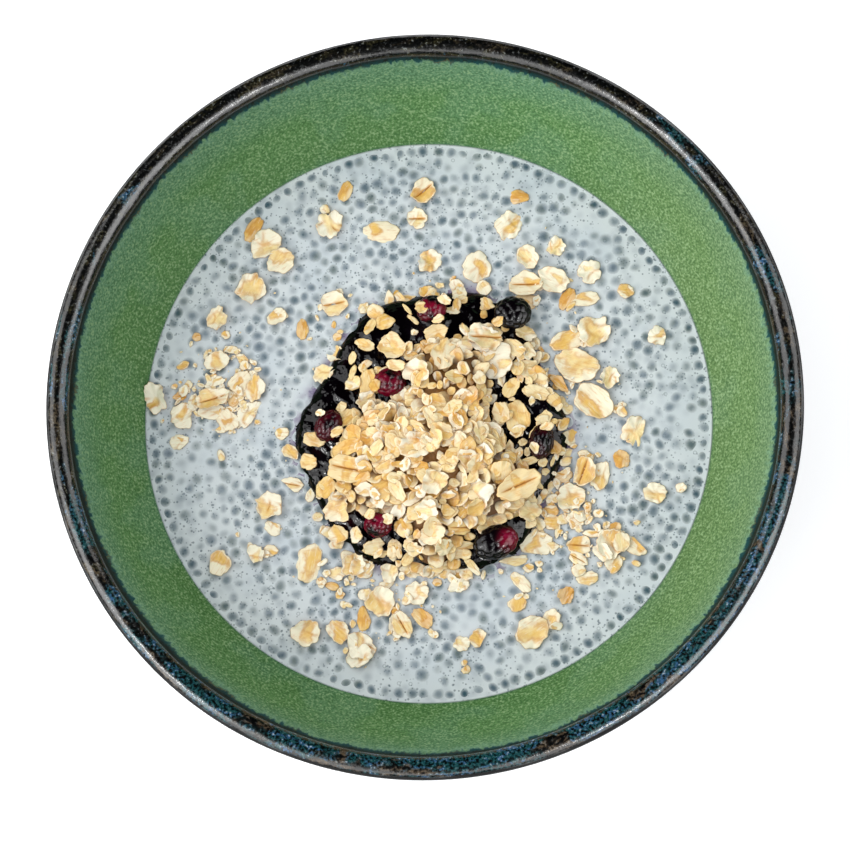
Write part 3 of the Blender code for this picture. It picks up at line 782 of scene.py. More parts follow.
def milk():
    """The finish of the pudding: clouds, faint deep seeds, bubbles as dots and as rings, and the
    seeds near the top."""
    material, shader, place = finish("Chia milk", IOR=1.35, Roughness=0.3, Specular_IOR_Level=0.3)
    base = place.colour(MILK).mixed(MILK_BLUE, place.noise(9.0, detail=3.0).rise(0.4, 0.7))
    for spacing, amount in DEEP_SEEDS:
        base = base.mixed(SEED_SOFT, place.cells(spacing, flat=False).rise(0.55, 0.0) * amount)
    crowd = place.noise(4.0).rise(0.34, 0.56)
    for spacing, kept in DOTS:
        kind = place.cells(spacing, "Color").part(0)
        dot = place.cells(spacing).rise(DOT_EDGE, DOT_CORE) * kind.rise(1 - kept, 1.02 - kept) * crowd
        base = base.mixed(BUBBLE, dot * 0.66)
    away, kind = place.cells(RING_SPACING), place.cells(RING_SPACING, "Color").part(0)
    ring = away.rise(*RING_INNER) * away.rise(*RING_OUTER) * kind.rise(0.7, 0.74)
    base = base.mixed(BUBBLE, ring * 0.4)

    rho, softness, strength, tint = (
        place.attribute(name) for name in ("rho", "softness", "strength", "tint")
    )
    mottle = place.noise(0.6, detail=3.0)
    ragged = rho + (mottle - 0.5) * 0.24
    left = (1 - ragged * ragged).math("MAXIMUM", 0.0)
    body = (left**softness * strength).math("MINIMUM", 1.0)
    seed = place.colour(SEED_SOFT).layered(
        (SEED_DARK, tint),
        (SEED_GREEN, place.noise(2.6).rise(0.5, 0.6) * 0.5),
    )
    seen = base.layered(
        (seed, body),
        (SEED_DARK, left.rise(0.5, 0.95) * mottle.rise(0.6, 0.4) * body * 0.3),
        (STAIN, place.attribute("stain") * place.noise(2.0, detail=3.0).rise(0.3, 0.6)),
    )
    place.feed(shader.inputs["Base Color"], seen)
    return material


milk_finish = milk()


def milk_values(size, **given):
    """The numbers that the milk reads: those that are given, and plain ones for the others."""
    plain = {"rho": 1.0, "softness": 0.5, "strength": 0.0, "tint": 0.0, "stain": 0.0}
    return {label: given.get(label, one_each(value, size)) for label, value in plain.items()}


STAIN_WIDTH, STAIN_STRENGTH = 0.06, 0.8
rings, top_pole, floor_pole = pudding_surface(PUDDING_COLUMNS)
out = reach(rings[..., 0], rings[..., 1], POOL_MIDDLE, POOL_RADII)
stain = np.exp(-(((out - 1.0) / STAIN_WIDTH) ** 2))[..., None] * STAIN_STRENGTH
stain = np.where(rings[..., 2:] > LEVEL - 1, stain, 0)
pudding = rings_piece(
    "pudding_top", (rings, top_pole, floor_pole), milk_finish,
    milk_values(rings.shape[:3], stain=(stain, np.zeros((1, 1)), np.zeros((1, 1)))),
)
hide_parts("pudding")

# %% [markdown]
# ### The seeds
#
# Grains that are poured into a thick liquid push each other apart until each has its own room.
# That can be acted out: start from random places, and let every pair that is too close step back,
# a few times over. Along the wall less milk covers the seeds, so there they stand in a darker ring.

# %% Where the seeds lie
SEED_ROOM, SEED_COUNT, PUSHES = 2.85, 1220, 14
RING_RADIUS, RING_STEP, RING_TO_FIELD = EDGE - 1.9, 3.1, 2.4
draw = np.random.default_rng(11)


def pushed_apart(places, held, room, rounds):
    """Moves places apart. Each round, every pair nearer than the room steps back by half of what
    it lacks. The held ones stay, and the others stay inside the circle of the held ones."""
    for _ in range(rounds):
        gap = places[:, None] - places[None]
        far = np.hypot(gap[..., 0], gap[..., 1]) + np.eye(len(places)) * room
        lack = np.clip(room - far, 0, None) / far / 2
        step = (gap * lack[..., None]).sum(1)
        places = places + np.where(held[:, None], 0, step)
        r = np.hypot(places[:, 0], places[:, 1])
        limit = np.where(held, r, RING_RADIUS - room * 0.8)
        places = places * np.minimum(1, limit / np.maximum(r, 0.1))[:, None]
    return places


def seed_places():
    """x, y and kind of every seed: 0 in the field, and 1 in the ring at the wall."""
    in_ring = int(TAU * RING_RADIUS / RING_STEP)
    turn = (np.arange(in_ring) + draw.uniform(-0.16, 0.16, in_ring)) * TAU / in_ring
    r = RING_RADIUS + draw.normal(0, 0.18, in_ring)
    ring = np.stack([r * np.cos(turn), r * np.sin(turn)], -1)
    turn = draw.uniform(0, TAU, SEED_COUNT)
    r = (RING_RADIUS - RING_TO_FIELD) * np.sqrt(draw.uniform(0, 1, SEED_COUNT))
    field = np.stack([r * np.cos(turn), r * np.sin(turn)], -1)
    held = np.arange(in_ring + SEED_COUNT) < in_ring
    places = pushed_apart(np.concatenate([ring, field]), held, SEED_ROOM, PUSHES)
    kept = held | (reach(places[:, 0], places[:, 1], POOL_MIDDLE, POOL_RADII) > 0.93)
    return np.concatenate([places, held[:, None]], 1)[kept]


seeds = seed_places()
print(f"{len(seeds)} seeds near the surface")

# %% The seeds' swellings
SEED_RHO = np.array([1.015, 1.0, 0.985, 0.8, 0.56, 0.28])
SEED_SINK = np.array([-0.06, 0.0, 0.0, 0.0, 0.0, 0.0])
SEED_LIFT, SEED_ROOT = 0.006, 0.9
DOME_IN_FIELD, DOME_IN_RING = 0.04, 0.07
HALF_IN_FIELD, HALF_IN_RING, ROUNDNESS = (1.4, 1.85), (1.4, 1.65), (0.75, 0.97)
SEED_COLUMNS = 12


def each(numbers):
    """One number for each seed or flake, shaped to meet arrays of copies, rings and columns."""
    return np.asarray(numbers, float)[:, None, None]


def seed_surface():
    """Low oval domes. A dome's height falls from its middle as the square of 1 less rho squared,
    so that it meets the milk without an edge. Its last ring and its lower pole are sunk."""
    count = len(seeds)
    ringed = seeds[:, 2] == 1
    in_ring, in_field = draw.uniform(*HALF_IN_RING, count), draw.uniform(*HALF_IN_FIELD, count)
    half_length = np.where(ringed, in_ring, in_field)
    half_width = half_length * draw.uniform(*ROUNDNESS, count)
    dome = np.where(ringed, DOME_IN_RING, DOME_IN_FIELD)
    spin = each(draw.uniform(0, math.pi, count))
    turn = equal_turns(SEED_COLUMNS)[None, None, :]
    rho = SEED_RHO[None, :, None]
    u = rho * np.cos(turn) * each(half_length)
    v = rho * np.sin(turn) * each(half_width)
    x = each(seeds[:, 0]) + u * np.cos(spin) - v * np.sin(spin)
    y = each(seeds[:, 1]) + u * np.sin(spin) + v * np.cos(spin)
    raised = SEED_LIFT + each(dome) * np.clip(1 - rho**2, 0, 1) ** 2
    raised = raised + SEED_SINK[None, :, None]
    z = LEVEL + swell(x, y) + raised
    rings = np.stack([x, y, z], -1)
    middle = LEVEL + swell(seeds[:, 0], seeds[:, 1])
    top = np.stack([seeds[:, 0], seeds[:, 1], middle + SEED_LIFT + dome], -1)
    under = np.stack([seeds[:, 0], seeds[:, 1], middle - SEED_ROOT], -1)
    return rings, under, top


seed_shape = seed_surface()
seed_size = seed_shape[0].shape[:3]
count = len(seeds)
near_wall = seeds[:, 2] == 1
blur = draw.uniform(0, 1, count)
softness = np.where(near_wall, 0.8 + 0.5 * blur, 0.85 + 1.1 * blur)
strength = np.where(near_wall, draw.uniform(0.6, 1.05, count), 0.95 - 0.6 * blur)
tint = np.where(near_wall, draw.uniform(0.4, 1.0, count), draw.uniform(0, 1, count) * 0.7)
rho_rings = np.broadcast_to(np.minimum(SEED_RHO, 1)[None, :, None, None], (*seed_size, 1))
seed_values = milk_values(
    seed_size, rho=(rho_rings, np.ones((count, 1)), np.zeros((count, 1))),
    softness=one_each(softness, seed_size), strength=one_each(strength, seed_size),
    tint=one_each(tint, seed_size),
)
rings_piece("chia_seeds", seed_shape, milk_finish, seed_values)

# %% [markdown]
# ## The compote
#
# Cooked berries fall apart into a thick, almost black syrup that mirrors every light. It is an
# island with a round coast, made of rings that crowd together where the side drops. Its lumps are
# geometry, because it is lumps that break a mirrored lamp into many small glints.

# %% The compote's surface
POOL_COLUMNS, POOL_RINGS, POOL_CROWDING = 300, 70, 1.7
WRINKLE, WRINKLE_LENGTH, POOL_ROOT = 0.12, 2.1, 1.0
COAST_RIPPLES = ((11, 0.02), (17, 0.016), (29, 0.014), (43, 0.01))


def pool_surface():
    """Rings at shares of the coast's radius, from near the middle to the coast and back under
    the pudding's surface, at the heights of pool_height, with fine wrinkles added."""
    turn = equal_turns(POOL_COLUMNS)[None, :]
    out = 1 - (1 - np.linspace(0, 1, POOL_RINGS + 1)[1:, None]) ** POOL_CROWDING
    ragged = 1 + sum(size * np.sin(k * turn + k) for k, size in COAST_RIPPLES)
    r = out * coast(POOL_RADII, turn) * ragged
    x, y = from_middle(POOL_MIDDLE, r, turn)
    z = np.maximum(pool_height(x, y), POOL_BASE)
    z = z + (1 - out**12) * WRINKLE * waves(x, y, WRINKLE_LENGTH, 4.0)
    rings = np.stack([x, y, z], -1)
    under = (rings[-1:] - (*POOL_MIDDLE, 0)) * (0.9, 0.9, 1) + (*POOL_MIDDLE, -POOL_ROOT)
    rings = np.concatenate([rings, under])[None]
    middle = np.array([[*POOL_MIDDLE, POOL_BASE + POOL_HEIGHT - 0.5]])
    return rings, middle, np.array([[*POOL_MIDDLE, POOL_BASE - POOL_ROOT]])


# %% Syrup
SYRUP, SYRUP_RED, SKIN = srgb(4, 2, 4), srgb(46, 4, 18), srgb(16, 10, 18)


def syrup():
    """The compote's finish: near black, redder where the skin is thin, and wet all over."""
    material, shader, place = finish("Berry compote", IOR=1.42, Roughness=0.08, Specular_IOR_Level=0.36)
    thin = place.noise(3.2, detail=3.0, distortion=0.5)
    shade = place.colour(SYRUP).layered(
        (SKIN, thin.rise(0.5, 0.75) * 0.7),
        (SYRUP_RED, place.noise(6.0, detail=4.0).rise(0.58, 0.74) * 0.6),
    )
    place.feed(shader.inputs["Base Color"], shade)
    relief(shader, place.noise(1.2, detail=2.0), 0.45)
    return material


compote = rings_piece("compote_pool", pool_surface(), syrup())
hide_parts("compote")

# %% [markdown]
# ## The berries
#
# A raspberry or bramble is a cluster of small juicy balls round a core. Points spread evenly over
# a ball by the golden angle mark the little balls' middles. At each point of the skin, the nearest
# of them decides how far the skin bulges, which gives round knobs with sharp valleys between. Some
# berries have cooked black, and others have kept their red, two of them only in one place.

# %% Knobs on a ball
GOLDEN_TURN = math.pi * (3 - math.sqrt(5))
BERRY_TOP, BERRY_BED = 5.6, 1.2
# Each row is x, y, length, width, turn in degrees, and how red.
BERRIES = {
    "berry_far_right": (19.5, 25.6, 9, 8, 0, 0.0),
    "berry_far_middle": (0.5, 26.4, 7.4, 6.8, 20, 1.0),
    "berry_inner": (-9.2, 9.4, 8, 7, 10, 0.75),
    "berry_left": (-23.5, -0.8, 8, 6.5, 60, 0.3),
    "berry_near_right": (15.5, -28, 11, 8, 20, 1.0),
    "berry_near_left": (-12, -24, 6.8, 6, 0, 0.8),
    "berry_right": (26.2, -4.5, 8.5, 6, 80, 0.12),
}
# On two berries only one place is red, given by its x, y and radius.
RED_PLACES = {"berry_near_right": (18.8, -27.6, 2.6), "berry_far_middle": (1.5, 26.4, 4.0)}
RED_ALL_OVER = (0, 0, 100)
BERRY_COLUMNS, BERRY_RINGS = 96, 54
KNOBS, KNOB_REACH, KNOB_HEIGHT = 46, 0.36, 0.16


def even_directions(count, draw):
    """Unit vectors spread over a ball: equal steps in height, each turned by the golden angle."""
    number = np.arange(count) + 0.5
    z = 1 - 2 * number / count
    turn = number * GOLDEN_TURN + draw.uniform(0, TAU)
    level = np.sqrt(1 - z**2)
    around = np.stack([level * np.cos(turn), level * np.sin(turn), z], -1)
    around += draw.normal(0, 0.05, around.shape)
    return around / np.linalg.norm(around, axis=1, keepdims=True)


def berry_surface(x, y, length, width, turn, draw):
    """A squashed ball whose radius grows near each knob's middle: by the root of what is left of
    the knob's own ball at that angle. Gives the shape, and how deep in a valley each point is."""
    lift = np.linspace(math.pi / 2, -math.pi / 2, BERRY_RINGS + 2)[1:-1, None]
    around = equal_turns(BERRY_COLUMNS)[None, :]
    level, up = np.cos(lift), np.sin(lift) * np.ones_like(around)
    unit = np.stack([level * np.cos(around), level * np.sin(around), up], -1)
    unit = np.concatenate([unit.reshape(-1, 3), [(0, 0, 1), (0, 0, -1)]])
    knobs = even_directions(KNOBS, draw)
    nearest = np.arccos(np.clip(unit @ knobs.T, -1, 1)).min(1)
    knob = np.sqrt(np.clip(1 - (nearest / KNOB_REACH) ** 2, 0, 1))
    grown = 1 - KNOB_HEIGHT + KNOB_HEIGHT * knob
    half = np.array([length, width, BERRY_TOP]) / 2
    points = unit * grown[:, None] * half
    cos, sin = math.cos(math.radians(turn)), math.sin(math.radians(turn))
    spun = points @ np.array([(cos, sin, 0), (-sin, cos, 0), (0, 0, 1)])
    spun += (*as_it_lies(x, y), LEVEL + BERRY_BED + half[2])
    rings = spun[:-2].reshape(1, BERRY_RINGS, BERRY_COLUMNS, 3)
    valley = (1 - knob)[:, None]
    return (rings, spun[-2:-1], spun[-1:]), (
        valley[:-2].reshape(1, BERRY_RINGS, BERRY_COLUMNS, 1), valley[-2:-1], valley[-1:]
    )


# %% Fruit
CRIMSON, WINE, PINK_HIGHLIGHT = srgb(122, 4, 38), srgb(6, 2, 6), srgb(150, 40, 78)


def fruit():
    """The berries' finish: crimson on the knobs, wine painted in the valleys as shade, pale pink
    patches painted as highlights, glossy with juice. The number red says how much of its colour a
    berry has kept, from 0, cooked black, to 1."""
    material, shader, place = finish("Cooked berries", IOR=1.4, Specular_IOR_Level=0.4)
    patch = place.noise(1.9, detail=3.0)
    valley, red = place.attribute("valley"), place.attribute("red")
    shade = place.colour(WINE).layered(
        (CRIMSON, red * patch.rise(0.66, 0.46)),
        # Pale pink patches on the red are painted highlights.
        (PINK_HIGHLIGHT, red * patch.rise(0.4, 0.28) * 0.6),
        # Wine laid in the valleys between the knobs is painted shade.
        (WINE, valley.rise(0.35, 0.85) * 0.7),
    )
    place.feed(shader.inputs["Base Color"], shade)
    place.feed(shader.inputs["Roughness"], 0.1 + patch * 0.16)
    relief(shader, place.noise(0.9), 0.12)
    return material


fruit_finish = fruit()
berry_draw = np.random.default_rng(4)
for name, (*sizes, redness) in BERRIES.items():
    berry_shape, valley = berry_surface(*sizes, berry_draw)
    *spot, spot_size = RED_PLACES.get(name, RED_ALL_OVER)
    spot = as_it_lies(*spot)
    away = [np.linalg.norm(part[..., :2] - spot, axis=-1, keepdims=True) for part in berry_shape]
    red = tuple(redness * np.exp(-(far / spot_size) ** 4) for far in away)
    looks = {"valley": valley, "red": red}
    berry = rings_piece(name + "_knobs", berry_shape, fruit_finish, looks)
    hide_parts(name)

# %% [markdown]
# ## Oat flakes
#
# A rolled oat is a steamed grain pressed flat: an oval with a crease along its middle, a thin
# edge that cracks and ruffles, and a slight curl. All flakes come from one formula, which works on
# whole arrays: an outline with waves and cracks, and a sheet with a curl, pleats that grow towards
# the edge, plates that have slipped against each other, and a crease. How ruffled and pale a flake
# is goes from 0, a smooth golden one, to 1, a crumpled white one.

# %% The flake's formula
FLAKE_RINGS = (
    (0.12, 1), (0.24, 1), (0.36, 1), (0.47, 1), (0.58, 1), (0.68, 1), (0.77, 1), (0.85, 1), (0.91, 1),
    (0.95, 1), (1.0, 0), (0.9, -1), (0.5, -1),
)
FLAKE_COLUMNS = 42
LITTLE_RINGS = ((0.25, 1), (0.5, 1), (0.72, 1), (0.9, 1), (1.0, 0), (0.7, -1))
LITTLE_COLUMNS = 28
BIT_RINGS = ((0.34, 1), (0.66, 1), (0.9, 1), (1.0, 0), (0.6, -1))
BIT_COLUMNS = 14
CRUMB_RINGS = ((0.6, 1), (1.0, 0.2), (0.6, -1))
CRUMB_COLUMNS = 7
OUTLINE_WAVES = (
    (2, 0.06), (3, 0.06), (4, 0.045), (5, 0.045), (7, 0.04), (9, 0.034), (12, 0.03), (17, 0.024),
)
CRACKS = ((0.16, 0.14), (0.14, 0.2), (0.12, 0.3))
# Each pair is how strong a feature is on a smooth flake, and how much more on a ruffled one.
WAVES, CRACKING, RIM_WAVES = (0.5, 0.55), (0.1, 0.65), (0.02, 0.05)
# The strength of the drops sets how darkly they are painted as shade.
PLEATS, PLATES, DROP_SHADE = (0.01, 0.06), (0.02, 0.12), (0.15, 0.75)
CREASE_DEPTH, PLATE_EDGES = 0.09, 2


def strength_at(pair, ruffled):
    """A strength that grows in proportion to how ruffled a flake is."""
    return pair[0] + pair[1] * ruffled


def flake_outline(turn, ruffled, count, draw):
    """How far out a flake's edge lies at a turn, where an oval has 1: waves added, a straight
    break that cuts some flakes, and cracks taken off, each a bell curve of the turn."""
    phase = draw.uniform(0, TAU, (len(OUTLINE_WAVES), count, 1, 1))
    edge = sum(size * np.cos(k * turn + p) for (k, size), p in zip(OUTLINE_WAVES, phase))
    edge = 1 + edge * strength_at(WAVES, ruffled)
    side_on = np.cos(turn - draw.uniform(0, TAU, (count, 1, 1)))
    edge = np.minimum(edge, draw.uniform(0.45, 1.7, (count, 1, 1)) / np.maximum(side_on, 0.05))
    for crack, reach_in in CRACKS:
        off = np.angle(np.exp(1j * (turn - draw.uniform(0, TAU, (count, 1, 1)))))
        edge = edge - crack * strength_at(CRACKING, ruffled) * np.exp(-((off / reach_in) ** 2))
    return edge


def germ_distance(u, v, count, draw):
    """How far a point lies from a flake's germ, off the flake's middle, in shares of the germ's
    size. Two waves round the germ make its outline uneven."""
    germ_x, germ_y = draw.uniform(-0.45, 0.45, (2, count, 1, 1))
    bent, bent_too = draw.uniform(0, TAU, (2, count, 1, 1))
    around = np.arctan2(v - germ_y, u - germ_x)
    bend = 1 + 0.34 * np.cos(2 * around + bent) + 0.26 * np.cos(3 * around + bent_too)
    return np.hypot(u - germ_x, v - germ_y) * bend / draw.uniform(0.35, 1.3, (count, 1, 1))


def plates(u, v, count, draw):
    """The sheets that a flake has cracked into: past each of two bent lines the height drops as
    a logistic curve. Gives the height from 0 to 1, and from 0 to 1 how close a drop is."""
    height, drop = 0.0, 0.0
    for _ in range(PLATE_EDGES):
        turn, wave, fade = draw.uniform(0, TAU, (3, count, 1, 1))
        start, bend = draw.uniform(-0.4, 0.5, (2, count, 1, 1))
        along = u * np.cos(turn) + v * np.sin(turn)
        across = v * np.cos(turn) - u * np.sin(turn)
        past = along - start - 0.12 * np.sin(4 * across + wave) - bend * across**2
        height = height + 0.5 / (1 + np.exp(past / 0.07))
        here = np.exp(-((past / 0.1) ** 2)) * np.clip(0.4 + np.sin(3 * across + fade), 0, 1)
        drop = np.maximum(drop, here)
    return height, drop


def flake_surface(sizes, ruffled, creased, thickness, ring_list, columns, draw):
    """Flakes lying level round their own middles, with x along each. The sheet's height is a cup
    as rho squared, plus waves of the rim that grow as rho cubed, plus pleats, plus plates, less a
    crease that is a bell curve across. Gives the points and the numbers that the finish reads."""
    count = len(sizes)
    length, width = each(sizes[:, 0]), each(sizes[:, 1])
    ruffled, creased = each(ruffled), each(creased)
    turn = equal_turns(columns)[None, None, :]
    rho = np.array([0.0, *(ring[0] for ring in ring_list), 0.0])[None, :, None]
    side = np.array([1.0, *(ring[1] for ring in ring_list), -1.0])[None, :, None]
    edge = flake_outline(turn, ruffled, count, draw)
    u, v = rho * edge * np.cos(turn), rho * edge * np.sin(turn)
    cup = draw.uniform(-0.06, 0.12, (count, 1, 1))
    cup = cup + draw.uniform(0.02, 0.2, (count, 1, 1)) * ruffled
    fold = draw.uniform(0, TAU, (3, count, 1, 1))
    rim = rho**3 * (np.cos(3 * turn + fold[0]) + 0.7 * np.cos(7 * turn + fold[1]))
    pleat = np.abs(np.cos(4.5 * turn + fold[2] + 1.8 * rho)) - 0.6
    plate, drop = plates(u, v, count, draw)
    crease = creased * np.exp(-((v / 0.1) ** 2)) * np.clip(1 - (u / 0.92) ** 6, 0, 1)
    sheet = cup * rho**2 + strength_at(RIM_WAVES, ruffled) * rim
    sheet = sheet + strength_at(PLEATS, ruffled) * rho**2 * pleat
    sheet = sheet + strength_at(PLATES, ruffled) * (plate - 0.5)
    sheet = sheet - CREASE_DEPTH * crease * (side > 0)
    thick = each(thickness) * side * (1 - 0.5 * rho**4) / 2
    points = np.stack([u * length / 2, v * width / 2, width * sheet + thick], -1)
    ones = np.ones_like(u)
    outer = np.maximum(np.minimum(germ_distance(u, v, count, draw), 1.2), rho**6 * ones)
    # Drops between plates, the thin edge and the underside are painted darker as shade.
    hollow_shade = drop * strength_at(DROP_SHADE, ruffled) * (side > 0) + 0.75 * (side == 0) + (side < 0)
    values = {
        "rho": outer, "crease": crease, "hollow_shade": hollow_shade, "pale": ruffled * ones,
        "along": u * length / 2, "across": v * width / 2,
    }
    rings = points[:, 1:-1], {label: numbers[:, 1:-1] for label, numbers in values.items()}
    first, last = (
        (points[:, i].mean(1), {label: numbers[:, i].mean(1) for label, numbers in values.items()})
        for i in (0, -1)
    )
    return rings, first, last


def lean_and_place(points, spin, lean, lean_turn, place):
    """Spins shapes about +Z, leans them towards a turn, and carries them to their places."""
    shaped = (slice(None),) + (None,) * (points.ndim - 2)
    cos, sin = np.cos(spin)[shaped], np.sin(spin)[shaped]
    x, y, z = points[..., 0], points[..., 1], points[..., 2]
    x, y = x * cos - y * sin, x * sin + y * cos
    cos, sin = np.cos(lean_turn)[shaped], np.sin(lean_turn)[shaped]
    along, across = x * cos + y * sin, y * cos - x * sin
    tip_cos, tip_sin = np.cos(lean)[shaped], np.sin(lean)[shaped]
    along, z = along * tip_cos + z * tip_sin, z * tip_cos - along * tip_sin
    moved = np.stack([along * cos - across * sin, along * sin + across * cos, z], -1)
    return moved + place[shaped]


# %% Oats
GOLD, CREAM, WHITE = srgb(234, 190, 100), srgb(242, 219, 160), srgb(248, 243, 222)
AMBER, HUSK, OCHRE_SHADE = srgb(208, 142, 42), srgb(124, 80, 28), srgb(122, 74, 26)
PINKISH, JUICE = srgb(206, 166, 150), srgb(44, 8, 18)
# Between these heights above the pudding a flake no longer counts as lying on the milk.
OFF_MILK, ON_MILK = 2.6, 1.6


def oats():
    """The flakes' finish: golden round the germ and pale away from it, with fine streaks along
    the grain, amber along the crease, partly bran and partly painted shade, amber and husk painted as
    shade in drops, on the thin edge and underneath, whiter on the milk, and red where juice has
    soaked in. The number tone goes from 0, cream, to 1, amber, and deep from 0, on top of the heap,
    to 1, down in its gaps, where ochre painted as shade and juice are laid."""
    material, shader, place = finish("Rolled oats", IOR=1.4, Roughness=0.55, Specular_IOR_Level=0.3)
    rho, crease, hollow_shade, pale, tone, soak, deep = (
        place.attribute(name) for name in ("rho", "crease", "hollow_shade", "pale", "tone", "soak", "deep")
    )
    grain = place.vector(place.attribute("along") * (0.2 * MM), place.attribute("across") * MM, tone)
    fibre = grain.noise(0.22, detail=3.0)
    patch = place.noise(1.1, detail=4.0)
    ripe = tone + (patch - 0.5) * 1.2
    on_milk = place.part(2).rise((LEVEL + OFF_MILK) * MM, (LEVEL + ON_MILK) * MM)
    outside = place.colour(CREAM).mixed(WHITE, pale.mixed_number(0.9, on_milk * 0.7))
    outer = (rho + (patch - 0.5) * 1.3).rise(0.2, 0.95)
    bleached = (0.6 + pale * 0.4).mixed_number(1.0, on_milk)
    germ_line = outer.rise(0.05, 0.4) * outer.rise(0.95, 0.5) * patch.rise(0.36, 0.5)
    # Ochre down in the heap's gaps is painted shade, turning to juice where soaked.
    shade_in_gaps = place.colour(OCHRE_SHADE).mixed(JUICE, soak.rise(0.1, 0.45))
    shade = place.colour(CREAM).layered(
        (GOLD, ripe.rise(0.1, 0.75)),
        (AMBER, ripe.rise(0.75, 1.1) * 0.7),
        (outside, outer * (1 - tone.rise(0.75, 1.0) * 0.7) * bleached),
        (AMBER, germ_line * (0.25 + 0.4 * tone)),
        (AMBER, fibre.rise(0.54, 0.74) * (0.5 - pale * 0.3)),
        (WHITE, fibre.rise(0.44, 0.3) * 0.35),
        # Amber and husk in drops, on the edge and underneath are painted shade.
        (AMBER, hollow_shade * 0.85),
        (HUSK, hollow_shade.rise(0.7, 1.0) * 0.55),
        # Amber and husk along the crease: partly the bran's colour, partly painted shade in the groove.
        (AMBER, crease.rise(0.1, 0.8) * 0.7),
        (HUSK, crease.rise(0.6, 1.0) * 0.7),
        (PINKISH, soak.rise(0.3, 0.8) * patch.rise(0.4, 0.6) * 0.2),
        # Painted shade down in the gaps, by how deep a point lies.
        (shade_in_gaps, deep * 0.9),
        (JUICE, soak.rise(0.7, 1.0) * patch.rise(0.36, 0.52)),
    )
    place.feed(shader.inputs["Base Color"], shade)
    relief(shader, fibre * 0.5 + patch * 0.5, 0.16)
    return material


oat_finish = oats()
GAP_FROM, GAP_DEPTH, GAPS_ABOVE = 0.5, 1.1, 2
RUFFLE_SPREAD = (0.8, 0.8)


def any_way(steepest, count, draw):
    """A random spin, lean and lean's turn for each of count bits."""
    spin, lean = draw.uniform(0, TAU, count), draw.uniform(0, steepest, count)
    return spin, lean, draw.uniform(0, TAU, count)


def flake_rows(*numbers):
    """A row for each flake from the thirteen numbers that flakes_piece reads, in its order."""
    return np.stack(np.broadcast_arrays(*numbers), -1).astype(float)


def depth_in_gaps(points):
    """From 0 to 1, how far points of the heap and the jam lie down between the flakes, which the
    finish paints as shade.
    """
    x, y, z = points[..., 0], points[..., 1], points[..., 2]
    return np.clip((ground(x, y) + GAP_FROM - z) / GAP_DEPTH, 0, 1) * (z > LEVEL + GAPS_ABOVE)


def flakes_piece(name, spots, ring_list, columns, draw):
    """A piece of flakes from rows of x, y, z, length, width, thickness, spin, lean, lean's turn,
    how ruffled, how creased, tone and soak."""
    x, y, z, length, width, thickness, spin, lean, lean_turn, ruffled, creased, tone, soak = spots.T
    sizes, place = np.stack([length, width], -1), np.stack([x, y, z], -1)
    made = flake_surface(sizes, ruffled, creased, thickness, ring_list, columns, draw)
    shape = [lean_and_place(points, spin, lean, lean_turn, place) for points, _ in made]
    values = {label: tuple(part[1][label][..., None] for part in made) for label in made[0][1]}
    size = shape[0].shape[:3]
    values |= {"tone": one_each(tone, size), "soak": one_each(soak, size)}
    values["deep"] = tuple(depth_in_gaps(part)[..., None] for part in shape)
    return rings_piece(name, shape, oat_finish, values)


# %% [markdown]
# ### The loose flakes
#
# The flakes that lie on the milk and the jam are the ones that a viewer can count, so each has the
# place, size and turn that the photograph shows. They float with their thin edges just sunk in.

